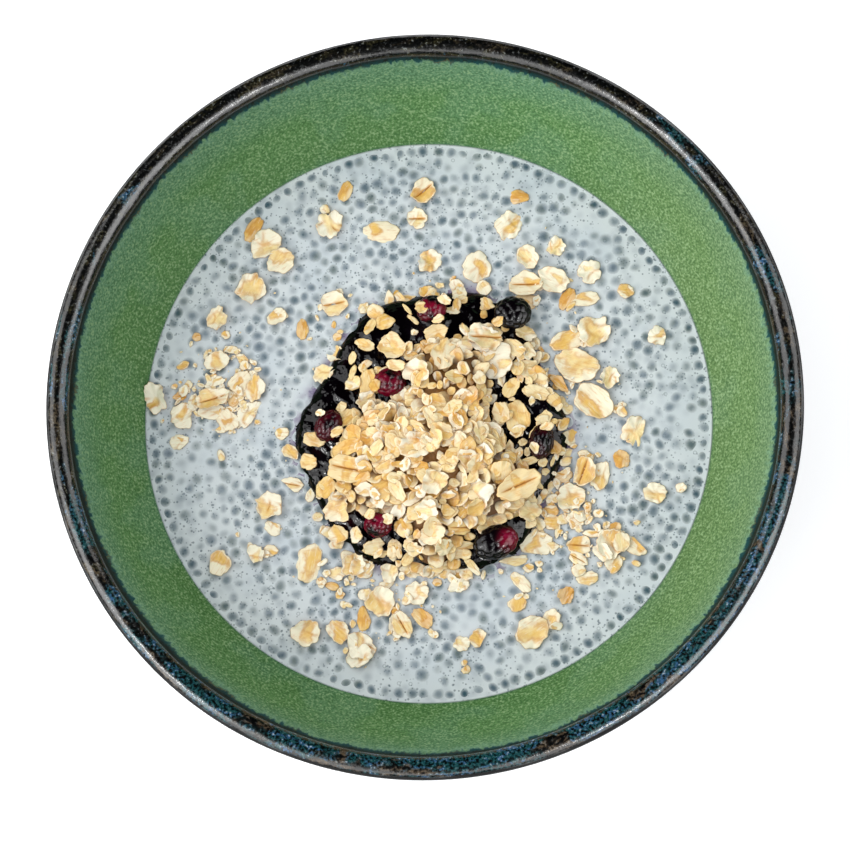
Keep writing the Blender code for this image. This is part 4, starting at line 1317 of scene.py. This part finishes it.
# %% Where the loose flakes lie
# Each row is x, y, length, width, turn in degrees, how ruffled, and how golden.
LOOSE_FLAKES = [
    (-15, 18.3, 4.8, 3, -20, 0.3, 0.6), (-8.5, 17.8, 7, 6, 0, 0.4, 0.5),
    (-10.4, 23.9, 5.5, 4, 20, 0.05, 0.75), (-22, 16.5, 4.6, 4.4, 0, 0.5, 0.5),
    (-24.7, 12.1, 5.6, 4.8, 30, 0.7, 0), (-27, -3.9, 5.5, 3.6, -20, 0.3, 0.4),
    (-21.3, -25.7, 5.2, 4.6, 0, 0.4, 0.8), (19.1, 8.1, 5.6, 3.4, 60, 0.1, 0.6),
    (25.1, 7.2, 6, 3.6, -20, 0.3, 0.2), (20.5, 1.2, 8, 6, -80, 0.15, 0.5),
    (26.5, 1.4, 4.4, 3.4, 0, 0.3, 0), (23.2, 12.7, 5.2, 4.6, 0, 0.5, 0.1),
    (22.3, 21, 5, 4.6, 0, 0.6, 0.3), (13.4, 27.6, 4.8, 3.4, -50, 0.3, 0.6),
    (7, 30.4, 4.6, 3.4, 70, 0.5, 0.3), (-5.5, 29.6, 5, 3.8, 0, 0.1, 0.9),
    (27.6, -15.1, 5, 4, 30, 0.3, 0.4), (-20, 55, 5, 3.7, 65, 0, 0.9), (-23.5, 47, 7, 6, 80, 1, 0),
    (-11.5, 45.5, 9, 5.2, 0, 0.1, 0.8), (-41.5, 46, 7, 3.4, 60, 0, 1),
    (-38.5, 42.5, 7.5, 7, 20, 0.6, 0.2), (-35, 38.5, 7, 6, 45, 0.4, 0.4),
    (-42, 32, 8, 6.5, 70, 0.9, 0.5), (-36, 25.5, 5, 4, 20, 0.2, 0.6), (-30, 22.5, 5, 3, 90, 0, 1),
    (-50, 25, 6, 4.5, 60, 0.8, 0.2), (-50, 15, 6, 4.8, 0, 0.6, 0.5),
    (-64.4, 6.4, 7.5, 6, -50, 0.9, 0.6), (-57.5, 2, 7, 6.5, 30, 0.8, 0.7),
    (-51.2, 3.1, 7, 3.6, 5, 0.6, 0.1), (-44.5, 10, 6, 5, 50, 0.3, 0.8),
    (-41, 8.5, 6.5, 4.5, 80, 0.7, 0.7), (-43, 2.5, 7.5, 4.5, 50, 0.9, 0),
    (-59, -4, 4.5, 4, 0, 0.4, 0.7), (-50.4, 10.2, 4.4, 2.6, 20, 0.7, 0.2),
    (-55.4, 5.2, 4.2, 3.2, 60, 0.9, 0.1), (-8.3, -46.2, 5, 2.6, 70, 0.7, 0),
    (-1.7, -45.4, 5.6, 3.8, -45, 0.3, 1), (-32.8, -6.6, 4.6, 3.6, -45, 0.2, 0.6),
    (-37.5, -19, 7.5, 6, -15, 1, 0.4), (-49.5, -32.5, 6, 5.5, 60, 0.3, 0.7),
    (-41.3, -30.5, 5, 4.5, 30, 0.8, 0), (-28, -32.5, 9, 7.5, 80, 0.25, 0.6),
    (-18, -33, 6, 5.5, 10, 0.8, 0.4), (-11.5, -41.5, 7.5, 6.5, 60, 0.6, 0.5),
    (-15.5, -45.5, 6, 3.4, 85, 0, 1), (-29, -49, 6.8, 6.2, 20, 0.6, 0.5),
    (-21.5, -48.5, 6, 5, -40, 0.6, 0.7), (-16.5, -52, 7.5, 6.5, -45, 0.8, 0.2),
    (-3.1, -39.6, 5.8, 5.2, 0, 0.6, 0.2), (7.4, -51.4, 4.4, 3.4, 0, 0.6, 0.05),
    (24, -48.6, 8.2, 7.4, 30, 0.35, 0.5), (28.5, -45.5, 4.5, 4, 60, 0.3, 0.6),
    (20.5, -41.5, 5, 4.5, 80, 0, 0.8), (32, -40, 4.5, 3.6, 60, 0.8, 1),
    (37, -36, 5.5, 3.2, 0, 0.2, 0.4), (42.5, -28, 7.5, 6.5, 70, 0.4, 0.6),
    (48.5, -28.5, 6, 4, -30, 0.2, 0.8), (25, -28.5, 7.5, 7, 20, 0.4, 0.6),
    (33, -17, 6.8, 6.4, 0, 0.5, 0.5), (40, -12, 7, 4.5, 80, 0.3, 0.7), (45, -8, 4.5, 4, 80, 0.4, 1),
    (53, -16, 5.5, 5.2, 0, 0.5, 0.3), (48.5, -1.5, 7.5, 6.8, 70, 0.6, 0.15),
    (38.5, 5.5, 10, 7.6, -45, 0.15, 0.75), (34.5, 14, 11, 8, -15, 0.3, 0.35),
    (32, 19.5, 8, 5.5, 20, 0.1, 0.8), (38.5, 22, 8, 7.5, 50, 0.7, 0.5),
    (53.5, 21, 4.8, 4.5, 0, 0.8, 0.4), (37.5, 36, 6, 5.5, 45, 0.7, 0.1),
    (29, 34, 8, 6, -25, 0.5, 0.4), (23, 39.5, 5.8, 5.2, -50, 0.4, 0.3),
    (29.5, 42, 5, 4.6, 0, 0.9, 0), (18.5, 47, 7, 6.5, 40, 0.6, 0.75), (21, 53.5, 4.5, 4, 0, 0.1, 1),
    (11, 37, 7.5, 7, 60, 0.5, 0.7), (0, 38.5, 6, 5.5, 20, 0.8, 0.6),
    (-47.5, 1, 5.5, 5, -50, 0.5, 0.8), (11.5, -50.3, 4.4, 4.4, 0, 0.3, 0.8),
    (-13.9, 22.5, 4.6, 2.2, 60, 0.1, 0.7), (22.3, 28.9, 6.6, 4, 5, 0.05, 0.9),
    (20, 17.4, 6.4, 3.6, -35, 0.3, 0.3), (30.8, 9.8, 5.5, 3, -40, 0.3, 1),
    (24.7, -2.8, 4.6, 2.4, 65, 0.1, 0.5), (32.6, -2.5, 4.8, 4.4, 90, 0.2, 0.8),
    (23.2, -8.9, 5, 2, 10, 0.2, 0.3), (24.2, -13.1, 6.5, 2.2, -45, 0.1, 0),
    (34.6, -22, 5, 3.4, -10, 0.4, 0), (30, -24.5, 4.5, 1.2, 80, 0, 0),
    (19.5, -32.1, 7.5, 2.6, 12, 0.2, 0.1), (32.3, 29.6, 6, 3.4, 60, 0.1, 1),
    (36.6, 29.6, 7, 3.4, 12, 0.1, 0.6), (42.3, 11.1, 5, 4.6, 45, 0.9, 0.1),
    (40.7, -29.9, 5, 4, -30, 0.7, 0), (45, -27.6, 5, 4, 90, 0.2, 0.1),
    (-8.3, -29.3, 4.6, 3.4, 80, 0.4, 0.2), (-4.7, -34.3, 5, 3, -25, 0.3, 0.1),
    (-36.9, -24, 4.6, 3.6, -50, 0.5, 0.4), (-16.4, -54.5, 6.5, 5, 30, 0.8, 0.1),
    (3.7, -34.4, 5, 4, 0, 0.4, 0.6), (7.7, -35.1, 4.4, 4, 0, 0.2, 0.8),
    (10, -33.3, 5.5, 2, -50, 0.1, 0.2), (6.8, -37.7, 5, 3.4, 20, 0.7, 0),
    (21.4, -37, 6.2, 3, -48, 0.2, 0.3),
]
GROOVED_FLAKES = [
    (-1.5, 55, 6.5, 5.5, 40, 0.3, 0.8), (-3, 48.5, 5, 5, 0, 0.5, 0.2),
    (-22.5, 28.5, 6.4, 6, 10, 0.3, 0.1), (-51, 6, 8, 5.5, 20, 0.7, 0.5),
    (-32.5, -14, 5.5, 3.6, -10, 0.2, 0.3), (-6.5, -47, 6.5, 4.5, -60, 0.2, 0.4),
    (35.1, -28.3, 5.6, 4.6, -5, 0.3, 0.8), (36, -11, 7.5, 6, 70, 0.3, 0.7),
    (22.5, 33, 8, 6, 0, 0.2, 0.8), (34.6, -31.4, 5.4, 3, -30, 0.2, 0.4),
]
LITTLE_FLAKES = [
    (-28.2, -9, 4.2, 4, 0, 0.3, 0.5), (46, 31.5, 4, 3.6, 0, 0.3, 0.7),
    (-18, 15.2, 3.4, 1.8, 75, 0.1, 0.3), (-17.9, 11.7, 4, 1.5, 75, 0, 0),
    (-5.2, 26.6, 3.6, 1, -50, 0, 0), (-3.9, 24.1, 3.4, 1.6, -40, 0.2, 0.1),
    (-22.6, 23.5, 2, 1.2, 80, 0, 1), (-21.8, 20.7, 2.2, 2, 0, 0, 0.9),
    (-15.4, 27.7, 3, 2.4, 20, 0.6, 0), (-0.8, 31.2, 3.8, 3.4, -30, 0.3, 0.9),
    (2.3, 33, 2.2, 2, 0, 0.6, 0), (-1.9, 26.9, 3, 2, 20, 0.2, 0.1),
    (5.3, 26.3, 3.6, 2, -10, 0.7, 0), (12.7, 25.5, 2.4, 1.8, 80, 0, 0.9),
    (15.8, 23.6, 2.6, 2.4, 0, 0.1, 0.9), (17.7, 22.1, 2, 1.8, 0, 0, 0.8),
    (6.5, 19.9, 2.2, 2, 0, 0, 0.6), (26.5, 15.9, 3.4, 2.6, 0, 0.2, 0.8),
    (22.9, 13.5, 2.8, 2, 15, 0, 0), (23.8, 11.2, 3.6, 3, 60, 0.4, 0.1),
    (27.2, 11.2, 3, 2.4, -70, 0.1, 0), (22.9, 7.2, 3, 2, -40, 0.2, 0),
    (32.2, 3.7, 3, 2.6, 0, 0.3, 0), (30.8, 5.9, 2, 2, 0, 0, 0.8), (30.4, 0, 2.2, 2, 0, 0.1, 0.7),
    (21.8, -4.6, 2.4, 1.8, 30, 0.3, 0), (22.9, -6.8, 2.2, 1.8, 80, 0.3, 0),
    (24.7, -6.8, 1.9, 1.6, 0, 0.2, 0), (26.5, -9.3, 2.6, 2, 40, 0.3, 0),
    (27.2, -11.4, 2.2, 1.9, 0, 0.3, 0), (28.8, -8.9, 2.6, 1, 70, 0.1, 0),
    (30.8, -6.4, 2.4, 2, 0, 0.1, 0.6), (31.5, -12, 4.2, 3.2, 20, 0.2, 0.9),
    (28.4, -20.3, 4, 3, 0, 0.3, 0.8), (23.6, -18.1, 3.4, 2.6, 0, 0.2, 0.1),
    (25.7, -23.2, 3.6, 2.6, -60, 0.4, 0), (28.7, -22.8, 4, 4, 0, 0.4, 0.7),
    (31.1, -22.3, 3, 2.4, 0, 0.4, 0), (28.5, -28.4, 3.6, 3, 0, 0.3, 0.2),
    (44.3, 3.7, 3, 2.4, 30, 0.3, 0.7), (36.6, -7.2, 4, 2.4, -20, 0.2, 0.8),
    (37.8, -25.6, 4, 2, 0, 0.3, 0.7), (43.6, -24, 2.8, 2.4, 0, 0, 0.9),
    (43.2, -32.6, 4.8, 4, 60, 0.5, 0.7), (-25.2, -24.7, 2.4, 1.6, 80, 0.1, 0.7),
    (-17.1, -26.2, 4, 3, 80, 0.8, 0), (-14, -30, 3.6, 1.6, -15, 0.1, 0.1),
    (-11.2, -30.4, 2.8, 2, 0, 0.1, 0.2), (-21.8, -35, 4, 3.4, 0, 0.7, 0),
    (-23, -37.9, 3.4, 2, -10, 0, 1), (-21.1, -40, 2.4, 2, 0, 0.1, 0.9),
    (-15.2, -39.9, 3.4, 3, 0, 0.6, 0), (-10, -37.7, 4, 2.4, 0, 0.3, 0.3),
    (-37.4, -29.5, 3.4, 2.8, 0, 0.1, 0.8), (-34.7, -2, 3.6, 3, 0, 0.1, 0.7),
    (8.3, -30.7, 3.4, 2.6, 0, 0.2, 0.4), (1.7, -37, 2.2, 2, 0, 0, 0.9),
    (-34.3, 26.1, 3, 2.4, 0, 0.2, 0.8), (-46.6, 17.7, 3, 2, 0, 0.3, 0.3),
    (-58.9, 6.9, 3.4, 2.8, 0, 0.3, 1), (-57, 9.4, 2.6, 2.4, 0, 0, 0.8),
    (-58, 14, 3.2, 2, 20, 0.4, 0.8), (-54.8, 20.7, 2.3, 2.1, 0, 0.2, 1),
    (-48, 21.2, 2.2, 2, 0, 0.2, 0.8), (-44, 15.4, 3.6, 2.2, -40, 0.6, 0.4),
    (-43.6, 14, 2.6, 2.2, 60, 0.2, 0.8), (-42.7, 8.6, 3, 2.4, 0, 0.6, 0.1),
    (-41.5, 11.9, 2.4, 1.8, -30, 0.5, 0), (-45.8, 7.2, 3.2, 2.8, 0, 0.7, 0),
    (-44.2, 5.1, 2.4, 2, 0, 0.5, 0.1), (-46, 4.6, 2.2, 1.8, 60, 0.5, 0),
    (-49.2, -0.9, 2.8, 2.4, 0, 0.5, 0.5), (-25.5, -36.8, 2.6, 2, 0, 0.4, 0.8),
    (0.4, -48.9, 2.8, 1.6, -60, 0.6, 0.2), (-14.5, -52.4, 3, 1.8, -20, 0.4, 1),
    (8.4, -57.5, 2.4, 2, 0, 0.3, 0.9), (23.2, -33.6, 2.6, 2.2, 0, 0.4, 0.8),
    (41.4, -23.6, 2.2, 1.6, 60, 0.5, 0),
]


# %% Laying flakes down
TALLEST_STEP, OVERLAP_GAIN, FLAKE_SHARE, TIP_SHARE = 1.5, 2.2, 0.46, 1.1
SLOPE_STEP, SLOPE_FOLLOWED, STEEPEST = 1.4, 0.7, 0.7


def stacked(x, y, size, base, thickness):
    """Heights and leans of flakes laid down in order. Where one comes down on another, its middle
    rises in proportion to how far they overlap, and its free side tips down, away from it."""
    height, lean, lean_turn = base.copy(), np.zeros(len(x)), np.zeros(len(x))
    for i in range(1, len(x)):
        away_x, away_y = x[i] - x[:i], y[i] - y[:i]
        overlap = 1 - np.hypot(away_x, away_y) / (FLAKE_SHARE * (size[i] + size[:i]))
        gain = (height[:i] + thickness[i] - base[i]) * np.clip(OVERLAP_GAIN * overlap, 0, 1)
        under = int(gain.argmax())
        if gain[under] > 0:
            rise = min(gain[under], TALLEST_STEP)
            height[i] = base[i] + rise
            lean[i] = math.atan(TIP_SHARE * rise / size[i])
            lean_turn[i] = math.atan2(away_y[under], away_x[under])
    return height, lean, lean_turn


def slope(x, y, step_x, step_y):
    """How steeply the ground rises along a step, from the heights a step ahead and behind."""
    rise = ground(x + step_x, y + step_y) - ground(x - step_x, y - step_y)
    return np.clip(rise / (2 * SLOPE_STEP), -STEEPEST, STEEPEST)


def laid_rows(plain, grooved, draw, clear, wobble):
    """Rows for flakes_piece from the rows of two lists: laid down in order, a little above what
    carries them, tipped with its slope, and each with a small lean of its own."""
    x, y, length, width, turn, ruffled, golden = np.array(plain + grooved, float).T
    x, y = as_it_lies(x, y)
    creased = np.arange(len(x)) >= len(plain)
    count = len(x)
    thickness = draw.uniform(0.4, 0.6, count) * np.clip(length / 5, 0.5, 1)
    base = ground(x, y) + clear + thickness / 2
    height, lean, lean_turn = stacked(x, y, (length + width) / 2, base, thickness)
    tip_x = lean * np.cos(lean_turn) - SLOPE_FOLLOWED * slope(x, y, SLOPE_STEP, 0)
    tip_y = lean * np.sin(lean_turn) - SLOPE_FOLLOWED * slope(x, y, 0, SLOPE_STEP)
    tip_x = tip_x + draw.normal(0, wobble, count)
    tip_y = tip_y + draw.normal(0, wobble, count)
    on_pool = reach(x, y, POOL_MIDDLE, POOL_RADII) < 0.97
    on_heap = reach(x, y, HEAP_MIDDLE, HEAP_RADII) < 0.85
    wet = np.where(on_pool & ~on_heap, draw.uniform(0, 0.65, count), draw.uniform(0, 0.08, count))
    return flake_rows(
        x, y, height, length, width, thickness, np.radians(turn),
        np.arctan(np.hypot(tip_x, tip_y)), np.arctan2(tip_y, tip_x), ruffled, creased, golden, wet,
    )


loose_draw = np.random.default_rng(21)
loose_rows = laid_rows(LOOSE_FLAKES, GROOVED_FLAKES, loose_draw, clear=0.0, wobble=0.04)
flakes_piece("loose_flakes", loose_rows, FLAKE_RINGS, FLAKE_COLUMNS, loose_draw)
little_rows = laid_rows(LITTLE_FLAKES, [], loose_draw, clear=0.1, wobble=0.06)
flakes_piece("little_flakes", little_rows, LITTLE_RINGS, LITTLE_COLUMNS, loose_draw)


# %% Fragments and crumbs
CARRIERS = np.concatenate([loose_rows, little_rows])[:, [0, 1, 3]]
CLUMP_REACH, BIT_THICKNESS = 10.0, 0.16
# How many, how far they spread from a flake's edge, and the shortest and the longest.
FRAGMENTS, CRUMBS = (300, 1.4, 1.2, 3.6), (320, 2.4, 0.4, 1.3)


def strewn(many, spread, shortest, longest, draw):
    """Rows for bits thrown round the loose flakes. A flake's chance to be picked grows as the
    square of how many lie near it, and the distance from its edge is the negative logarithm of a
    random share, so that most bits lie close to a flake in a clump."""
    gap = CARRIERS[:, None, :2] - CARRIERS[None, :, :2]
    chance = (np.hypot(gap[..., 0], gap[..., 1]) < CLUMP_REACH).sum(1) ** 2
    picked = CARRIERS[draw.choice(len(CARRIERS), many, p=chance / chance.sum())]
    away = draw.uniform(0, TAU, many)
    distance = picked[:, 2] * 0.4 + draw.exponential(spread, many)
    x, y = picked[:, 0] + distance * np.cos(away), picked[:, 1] + distance * np.sin(away)
    on_milk = (np.hypot(x, y) < EDGE - 1.5) & (reach(x, y, POOL_MIDDLE, POOL_RADII) > 1.02)
    x, y = x[on_milk], y[on_milk]
    count = len(x)
    length = mixed_range(shortest, longest, draw.beta(1, 2, count))
    thick = BIT_THICKNESS * length
    return flake_rows(
        x, y, ground(x, y) + thick, length, length * draw.uniform(0.4, 0.95, count), thick + 0.1,
        *any_way(0.35, count, draw), draw.uniform(0.3, 1, count), 0, draw.beta(0.7, 1.3, count), 0,
    )


fragments = strewn(*FRAGMENTS, loose_draw)
flakes_piece("oat_fragments", fragments, BIT_RINGS, BIT_COLUMNS, loose_draw)
crumbs = strewn(*CRUMBS, loose_draw)
flakes_piece("oat_crumbs", crumbs, CRUMB_RINGS, CRUMB_COLUMNS, loose_draw)

# %% [markdown]
# ### The heap
#
# A heap of flakes is mostly its outside: a core with the right outline, and flakes laid over it.
# First comes the core, rough as packed crumbs. Then fine bits cover it on a golden spiral, leaning
# every way, and more of them lie round it on the jam, which shows bare only in places. Last the
# large flakes lie on top where the photograph shows them, and small ones on the berries.

# %% The heap's core
CORE_COLUMNS, CORE_RINGS = 180, 60
CORE_SINK, CORE_ROOT, CORE_SOAK = 0.6, 0.8, 0.55
# The core is painted dark, as shade deep between the flakes, with juice near its coast.
CORE_LOOK = {
    "rho": 0.4, "crease": 0.0, "hollow_shade": 0.7, "along": 0.0, "across": 0.0, "pale": 0.2, "tone": 0.6,
    "deep": 0.9,
}


def core_surface():
    """Rings at shares of the heap's coast, at the heights of heap_height less the flakes' own
    thickness, roughened by short waves."""
    turn = equal_turns(CORE_COLUMNS)[None, :]
    out = np.linspace(0, 1, CORE_RINGS + 1)[1:, None]
    r = out * coast(HEAP_RADII, turn)
    x, y = from_middle(HEAP_MIDDLE, r, turn)
    rough = 0.22 * waves(x, y, 2.3, 0.9) + 0.14 * waves(x, y, 1.1, 2.8)
    z = np.maximum(heap_height(x, y), HEAP_BASE) - CORE_SINK + rough * (1 - out**8)
    rings = np.stack([x, y, z], -1)[None]
    middle = np.array([[*HEAP_MIDDLE, float(heap_height(*HEAP_MIDDLE)) - CORE_SINK]])
    return rings, middle, np.array([[*HEAP_MIDDLE, HEAP_BASE - CORE_ROOT]])


core_shape = core_surface()
core_size = core_shape[0].shape[:3]
core_values = {label: one_each(value, core_size) for label, value in CORE_LOOK.items()}
core_values["soak"] = tuple(
    reach(part[..., :1], part[..., 1:2], HEAP_MIDDLE, HEAP_RADII) ** 2 * CORE_SOAK
    for part in core_shape
)
core = rings_piece("oat_core", core_shape, oat_finish, core_values)
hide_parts("oat_heap")


# %% Fine bits over the core
FINE_BITS, FINE_LENGTH, SPIRAL_REACH, SPIRAL_STRAY = 320, (2.2, 5.4), 1.04, 0.8


def fine_spots(draw):
    """Rows for small flakes on a golden spiral over the core, and a few beyond its coast."""
    number = np.arange(FINE_BITS) + 0.5
    out = np.sqrt(number / FINE_BITS) * SPIRAL_REACH
    turn = number * GOLDEN_TURN
    r = out * coast(HEAP_RADII, turn) + draw.normal(0, SPIRAL_STRAY, FINE_BITS)
    x, y = from_middle(HEAP_MIDDLE, r, turn)
    length = draw.uniform(*FINE_LENGTH, FINE_BITS)
    width = length * draw.uniform(0.6, 0.95, FINE_BITS)
    return flake_rows(
        x, y, ground(x, y) + draw.uniform(-0.3, 0.7, FINE_BITS), length, width,
        draw.uniform(0.4, 0.7, FINE_BITS), *any_way(0.6, FINE_BITS, draw),
        draw.beta(*RUFFLE_SPREAD, FINE_BITS), 0, draw.uniform(0, 1, FINE_BITS),
        np.where(out > 0.8, draw.uniform(0, 0.7, FINE_BITS), draw.uniform(0, 0.15, FINE_BITS)),
    )


heap_draw = np.random.default_rng(8)
flakes_piece("heap_bits", fine_spots(heap_draw), BIT_RINGS, BIT_COLUMNS, heap_draw)

# %% Bits on the jam
# Each row is x, y and radius of a place where the bare jam shows.
BARE_JAM = [
    (-28, 5, 7), (-29, -4, 6), (-25, 13, 6), (-17, 20, 6), (-7, 24.5, 5), (3, 23, 5), (14, 25, 6),
    (16, 6.5, 3), (24, -2, 3), (25.5, -9, 4), (-18, -25, 5), (13, -29.5, 6), (19.5, -27, 5),
    (-29, -11, 5), (21, 3, 2.5), (-22, -17, 2.5), (-22, 9, 3.5), (27, -14, 3),
]
JAM_BITS, JAM_LENGTH = 400, (1.4, 4.6)


def jam_spots(draw):
    """Rows for bits strewn over the pool beside the heap, apart from the bare places. A place is
    drawn evenly over the pool: the radius goes as the root of a random share."""
    turn = draw.uniform(0, TAU, JAM_BITS)
    r = np.sqrt(draw.uniform(0.2, 1.12, JAM_BITS)) * coast(POOL_RADII, turn)
    x, y = from_middle(POOL_MIDDLE, r, turn)
    bare_x, bare_y, bare_size = np.array(BARE_JAM, float).T
    bare_x, bare_y = as_it_lies(bare_x, bare_y)
    far = np.hypot(x[:, None] - bare_x, y[:, None] - bare_y) > bare_size
    kept = far.all(1) & (reach(x, y, HEAP_MIDDLE, HEAP_RADII) > 0.96)
    x, y = x[kept], y[kept]
    count = len(x)
    length = draw.uniform(*JAM_LENGTH, count)
    return flake_rows(
        x, y, ground(x, y) + 0.1 + 0.12 * length * draw.uniform(0, 1, count), length,
        length * draw.uniform(0.5, 0.95, count), draw.uniform(0.35, 0.6, count),
        *any_way(0.4, count, draw), draw.beta(*RUFFLE_SPREAD, count), 0,
        draw.uniform(0, 1, count), draw.uniform(0, 0.4, count),
    )


flakes_piece("jam_bits", jam_spots(heap_draw), BIT_RINGS, BIT_COLUMNS, heap_draw)

# %% Large flakes on the heap
# The rows read as those of the loose flakes do.
HEAP_FLAKES = [
    (15.2, 14.6, 11, 9, 10, 0.9, 0.4), (3.4, 15.5, 8, 6, 80, 0.6, 0.4),
    (1.5, 21.1, 6, 4, 20, 0.3, 0.7), (-2.3, 10.8, 7.4, 7, 0, 0.9, 0.2),
    (-14.3, 9, 7, 4.2, 85, 0.1, 0.8), (-14.7, 4.8, 5, 4.7, 0, 0.9, 0.1),
    (-8.7, 11.8, 6.5, 2.6, 0, 0.5, 0.3), (-19.6, 1.1, 5, 5, 50, 0.2, 0.7),
    (-13.4, 0.2, 4.4, 3.4, 0, 0.4, 0.5), (-17.5, -3, 5, 4.4, -20, 0.1, 0.9),
    (-12.7, -3.5, 4.8, 3.8, -15, 0.3, 0.6), (5.9, 9.7, 4.4, 3.8, 0, 0.2, 0.6),
    (-18.9, -6.3, 8, 4, 12, 0.05, 0.9), (-14.7, -7.7, 3.4, 2.8, 60, 0.9, 0.1),
    (-11, -10.2, 4.4, 3.8, 0, 0.5, 0.5), (-24, -15.1, 5.6, 4.8, 40, 0.1, 0.8),
    (-20.3, -19.8, 9, 7, 20, 0.8, 0.4), (16.8, -12.3, 6, 5.4, 80, 0.2, 0.6),
    (16.8, 2.1, 5.6, 4.2, 100, 0.4, 0.7), (16.3, -4, 6, 3.8, 95, 0.7, 0.2),
    (19.4, -7.2, 5.6, 3.8, 75, 0.5, 0.3), (14, -24.4, 6.6, 6, 30, 0.8, 0.3),
    (18.7, -21.1, 6, 4.4, 20, 0.3, 0.5), (23.3, -20.7, 5.6, 5, 0, 0.6, 0.2),
    (1, -26.7, 6, 5, 0, 0.6, 0.4), (-6, -24.9, 5.2, 4.6, 0, 0.1, 0.9),
    (-4, -29.5, 5.2, 4, 0, 0.7, 0.1), (0, -33.2, 6, 5.6, 0, 0.5, 0.4),
    (-12.9, -29, 5.2, 4, 10, 0.4, 0.3), (-16.1, -33.7, 6, 5, 0, 0.4, 0.5),
    (-9.6, -34.6, 5, 4.2, 70, 0.5, 0.3), (7, -29.5, 7, 4.2, 10, 0.3, 0.7),
    (4.7, -33.2, 4.4, 2.2, 0, 0.4, 0.1), (-6.2, 5.5, 5.6, 4.6, 0, 0.8, 0.1),
    (1.8, 4.1, 5, 3.6, -10, 0.3, 0.85), (9.2, 5.7, 3.6, 3.2, 0, 0.3, 0.3),
    (10.2, 3.6, 3.4, 3, 0, 0.2, 0.8), (13.3, 5.5, 3, 2.8, 0, 0.2, 0.8),
    (5.7, 2.8, 5, 3, 30, 0.3, 0.3), (-3.7, 0.1, 5.5, 4, 20, 0.5, 0.3),
    (0.2, 0.4, 5, 2.4, 110, 0.4, 0.05), (2.2, 0.1, 3, 2.4, 0, 0.3, 0.3),
    (3, -3, 5.4, 4.4, -20, 0.4, 0.8), (7.2, 0.4, 5, 3.4, 110, 0.2, 0.95),
    (10.9, 0.1, 4, 3.6, 90, 0.4, 0.8), (12.1, -2.5, 4.6, 4, 90, 0.6, 0),
    (-8.1, -3.8, 3.6, 2.6, 20, 0.3, 0), (-3.1, -6.2, 8, 6.5, 20, 0.9, 0.4),
    (7.6, -5.8, 6, 3.4, 95, 0.6, 0), (-8.5, -7.5, 4.4, 4, 0, 0.2, 0.8),
    (14.2, -7.1, 3, 2.4, -40, 0.2, 0.3), (5.5, -10.2, 5, 3.4, 0, 0.5, 0),
    (11.3, -10.6, 6, 4.4, 20, 0.5, 0.5), (-1.7, -11.2, 3.4, 3, 0, 0.1, 1),
    (-7, -10.6, 3.4, 1.6, 0, 0, 1), (1.2, -14.5, 7, 6, 60, 0.8, 0.3),
    (-5.8, -13.5, 4, 2.6, -40, 0.4, 0), (-10.3, -15.7, 7, 6.4, 30, 0.05, 0.85),
    (-7.3, -16.1, 6, 3.4, -60, 0.4, 0.3), (10, -17.4, 10, 8, 20, 1, 0.1),
    (10.9, -20.4, 5, 4, 30, 0.2, 0.8), (0.3, -19.6, 4, 3.6, 0, 0.6, 0),
    (3.3, -19, 1.8, 1.6, 0, 0, 0), (4.5, -20.9, 4, 3, 10, 0.2, 0.8),
    (-13.3, -20.9, 3.6, 2.6, 30, 0.3, 0.4), (-11.1, -20.3, 3.4, 2.6, 80, 0.2, 0.4),
    (-8.6, -20.9, 3.6, 2.6, -20, 0.3, 0.3), (-0.2, -21, 5.5, 5, 0, 0.9, 0.1),
    (3.4, -29.4, 5, 4, 0, 0.5, 0.15), (13.9, -7.3, 3.6, 3, -40, 0.3, 0), (13, 19.5, 8, 6, 10, 1, 0),
]
GROOVED_ON_HEAP = [
    (13.1, 19.7, 9, 7, 0, 0.8, 0.2), (-6.4, 4.8, 6, 4.6, 20, 0.5, 0.3),
    (-18.9, -11.2, 9, 7.4, -12, 0.3, 0.6), (21, -15.1, 11, 7, 25, 0.3, 0.7),
    (7.3, -24.9, 6.2, 3.6, 0, 0, 0.8),
]
# These lie on the berries, sunk a little into the tops of the knobs.
FRUIT_SINK = 0.4
FLAKES_ON_FRUIT = [
    (-1.6, 26.2, 3.4, 2.8, 60, 0.3, 0.5), (3.6, 28.2, 3.6, 2.4, -30, 0.7, 0),
    (2.2, 23.6, 3, 2.2, 20, 0.5, 0.1), (-7.6, 12.8, 5, 2.8, -10, 0.3, 0.3),
    (-12.6, 8.2, 3.4, 2.6, 70, 0.2, 0.9), (-25.2, 1.8, 2.4, 1.8, 0, 0.8, 0),
    (-21.4, -2.6, 3.4, 2.4, 40, 0.3, 0.5), (-9.6, -23, 3.6, 3, 0, 0.7, 0.1),
    (-13.8, -21.8, 3, 2.4, 50, 0.3, 0.6), (27.4, -1.6, 3.4, 2.6, 30, 0.4, 0.4),
    (24.6, -6.4, 3, 2.4, -50, 0.8, 0), (16.4, 23, 3.4, 2.6, 20, 0.3, 0.6),
]

heap_rows = laid_rows(HEAP_FLAKES, GROOVED_ON_HEAP, heap_draw, clear=0.35, wobble=0.16)
flakes_piece("heap_flakes", heap_rows, FLAKE_RINGS, FLAKE_COLUMNS, heap_draw)
on_fruit = laid_rows(FLAKES_ON_FRUIT, [], heap_draw, clear=0.0, wobble=0.2)
on_fruit[:, 2] = LEVEL + BERRY_BED + BERRY_TOP - FRUIT_SINK
flakes_piece("flakes_on_fruit", on_fruit, LITTLE_RINGS, LITTLE_COLUMNS, heap_draw)
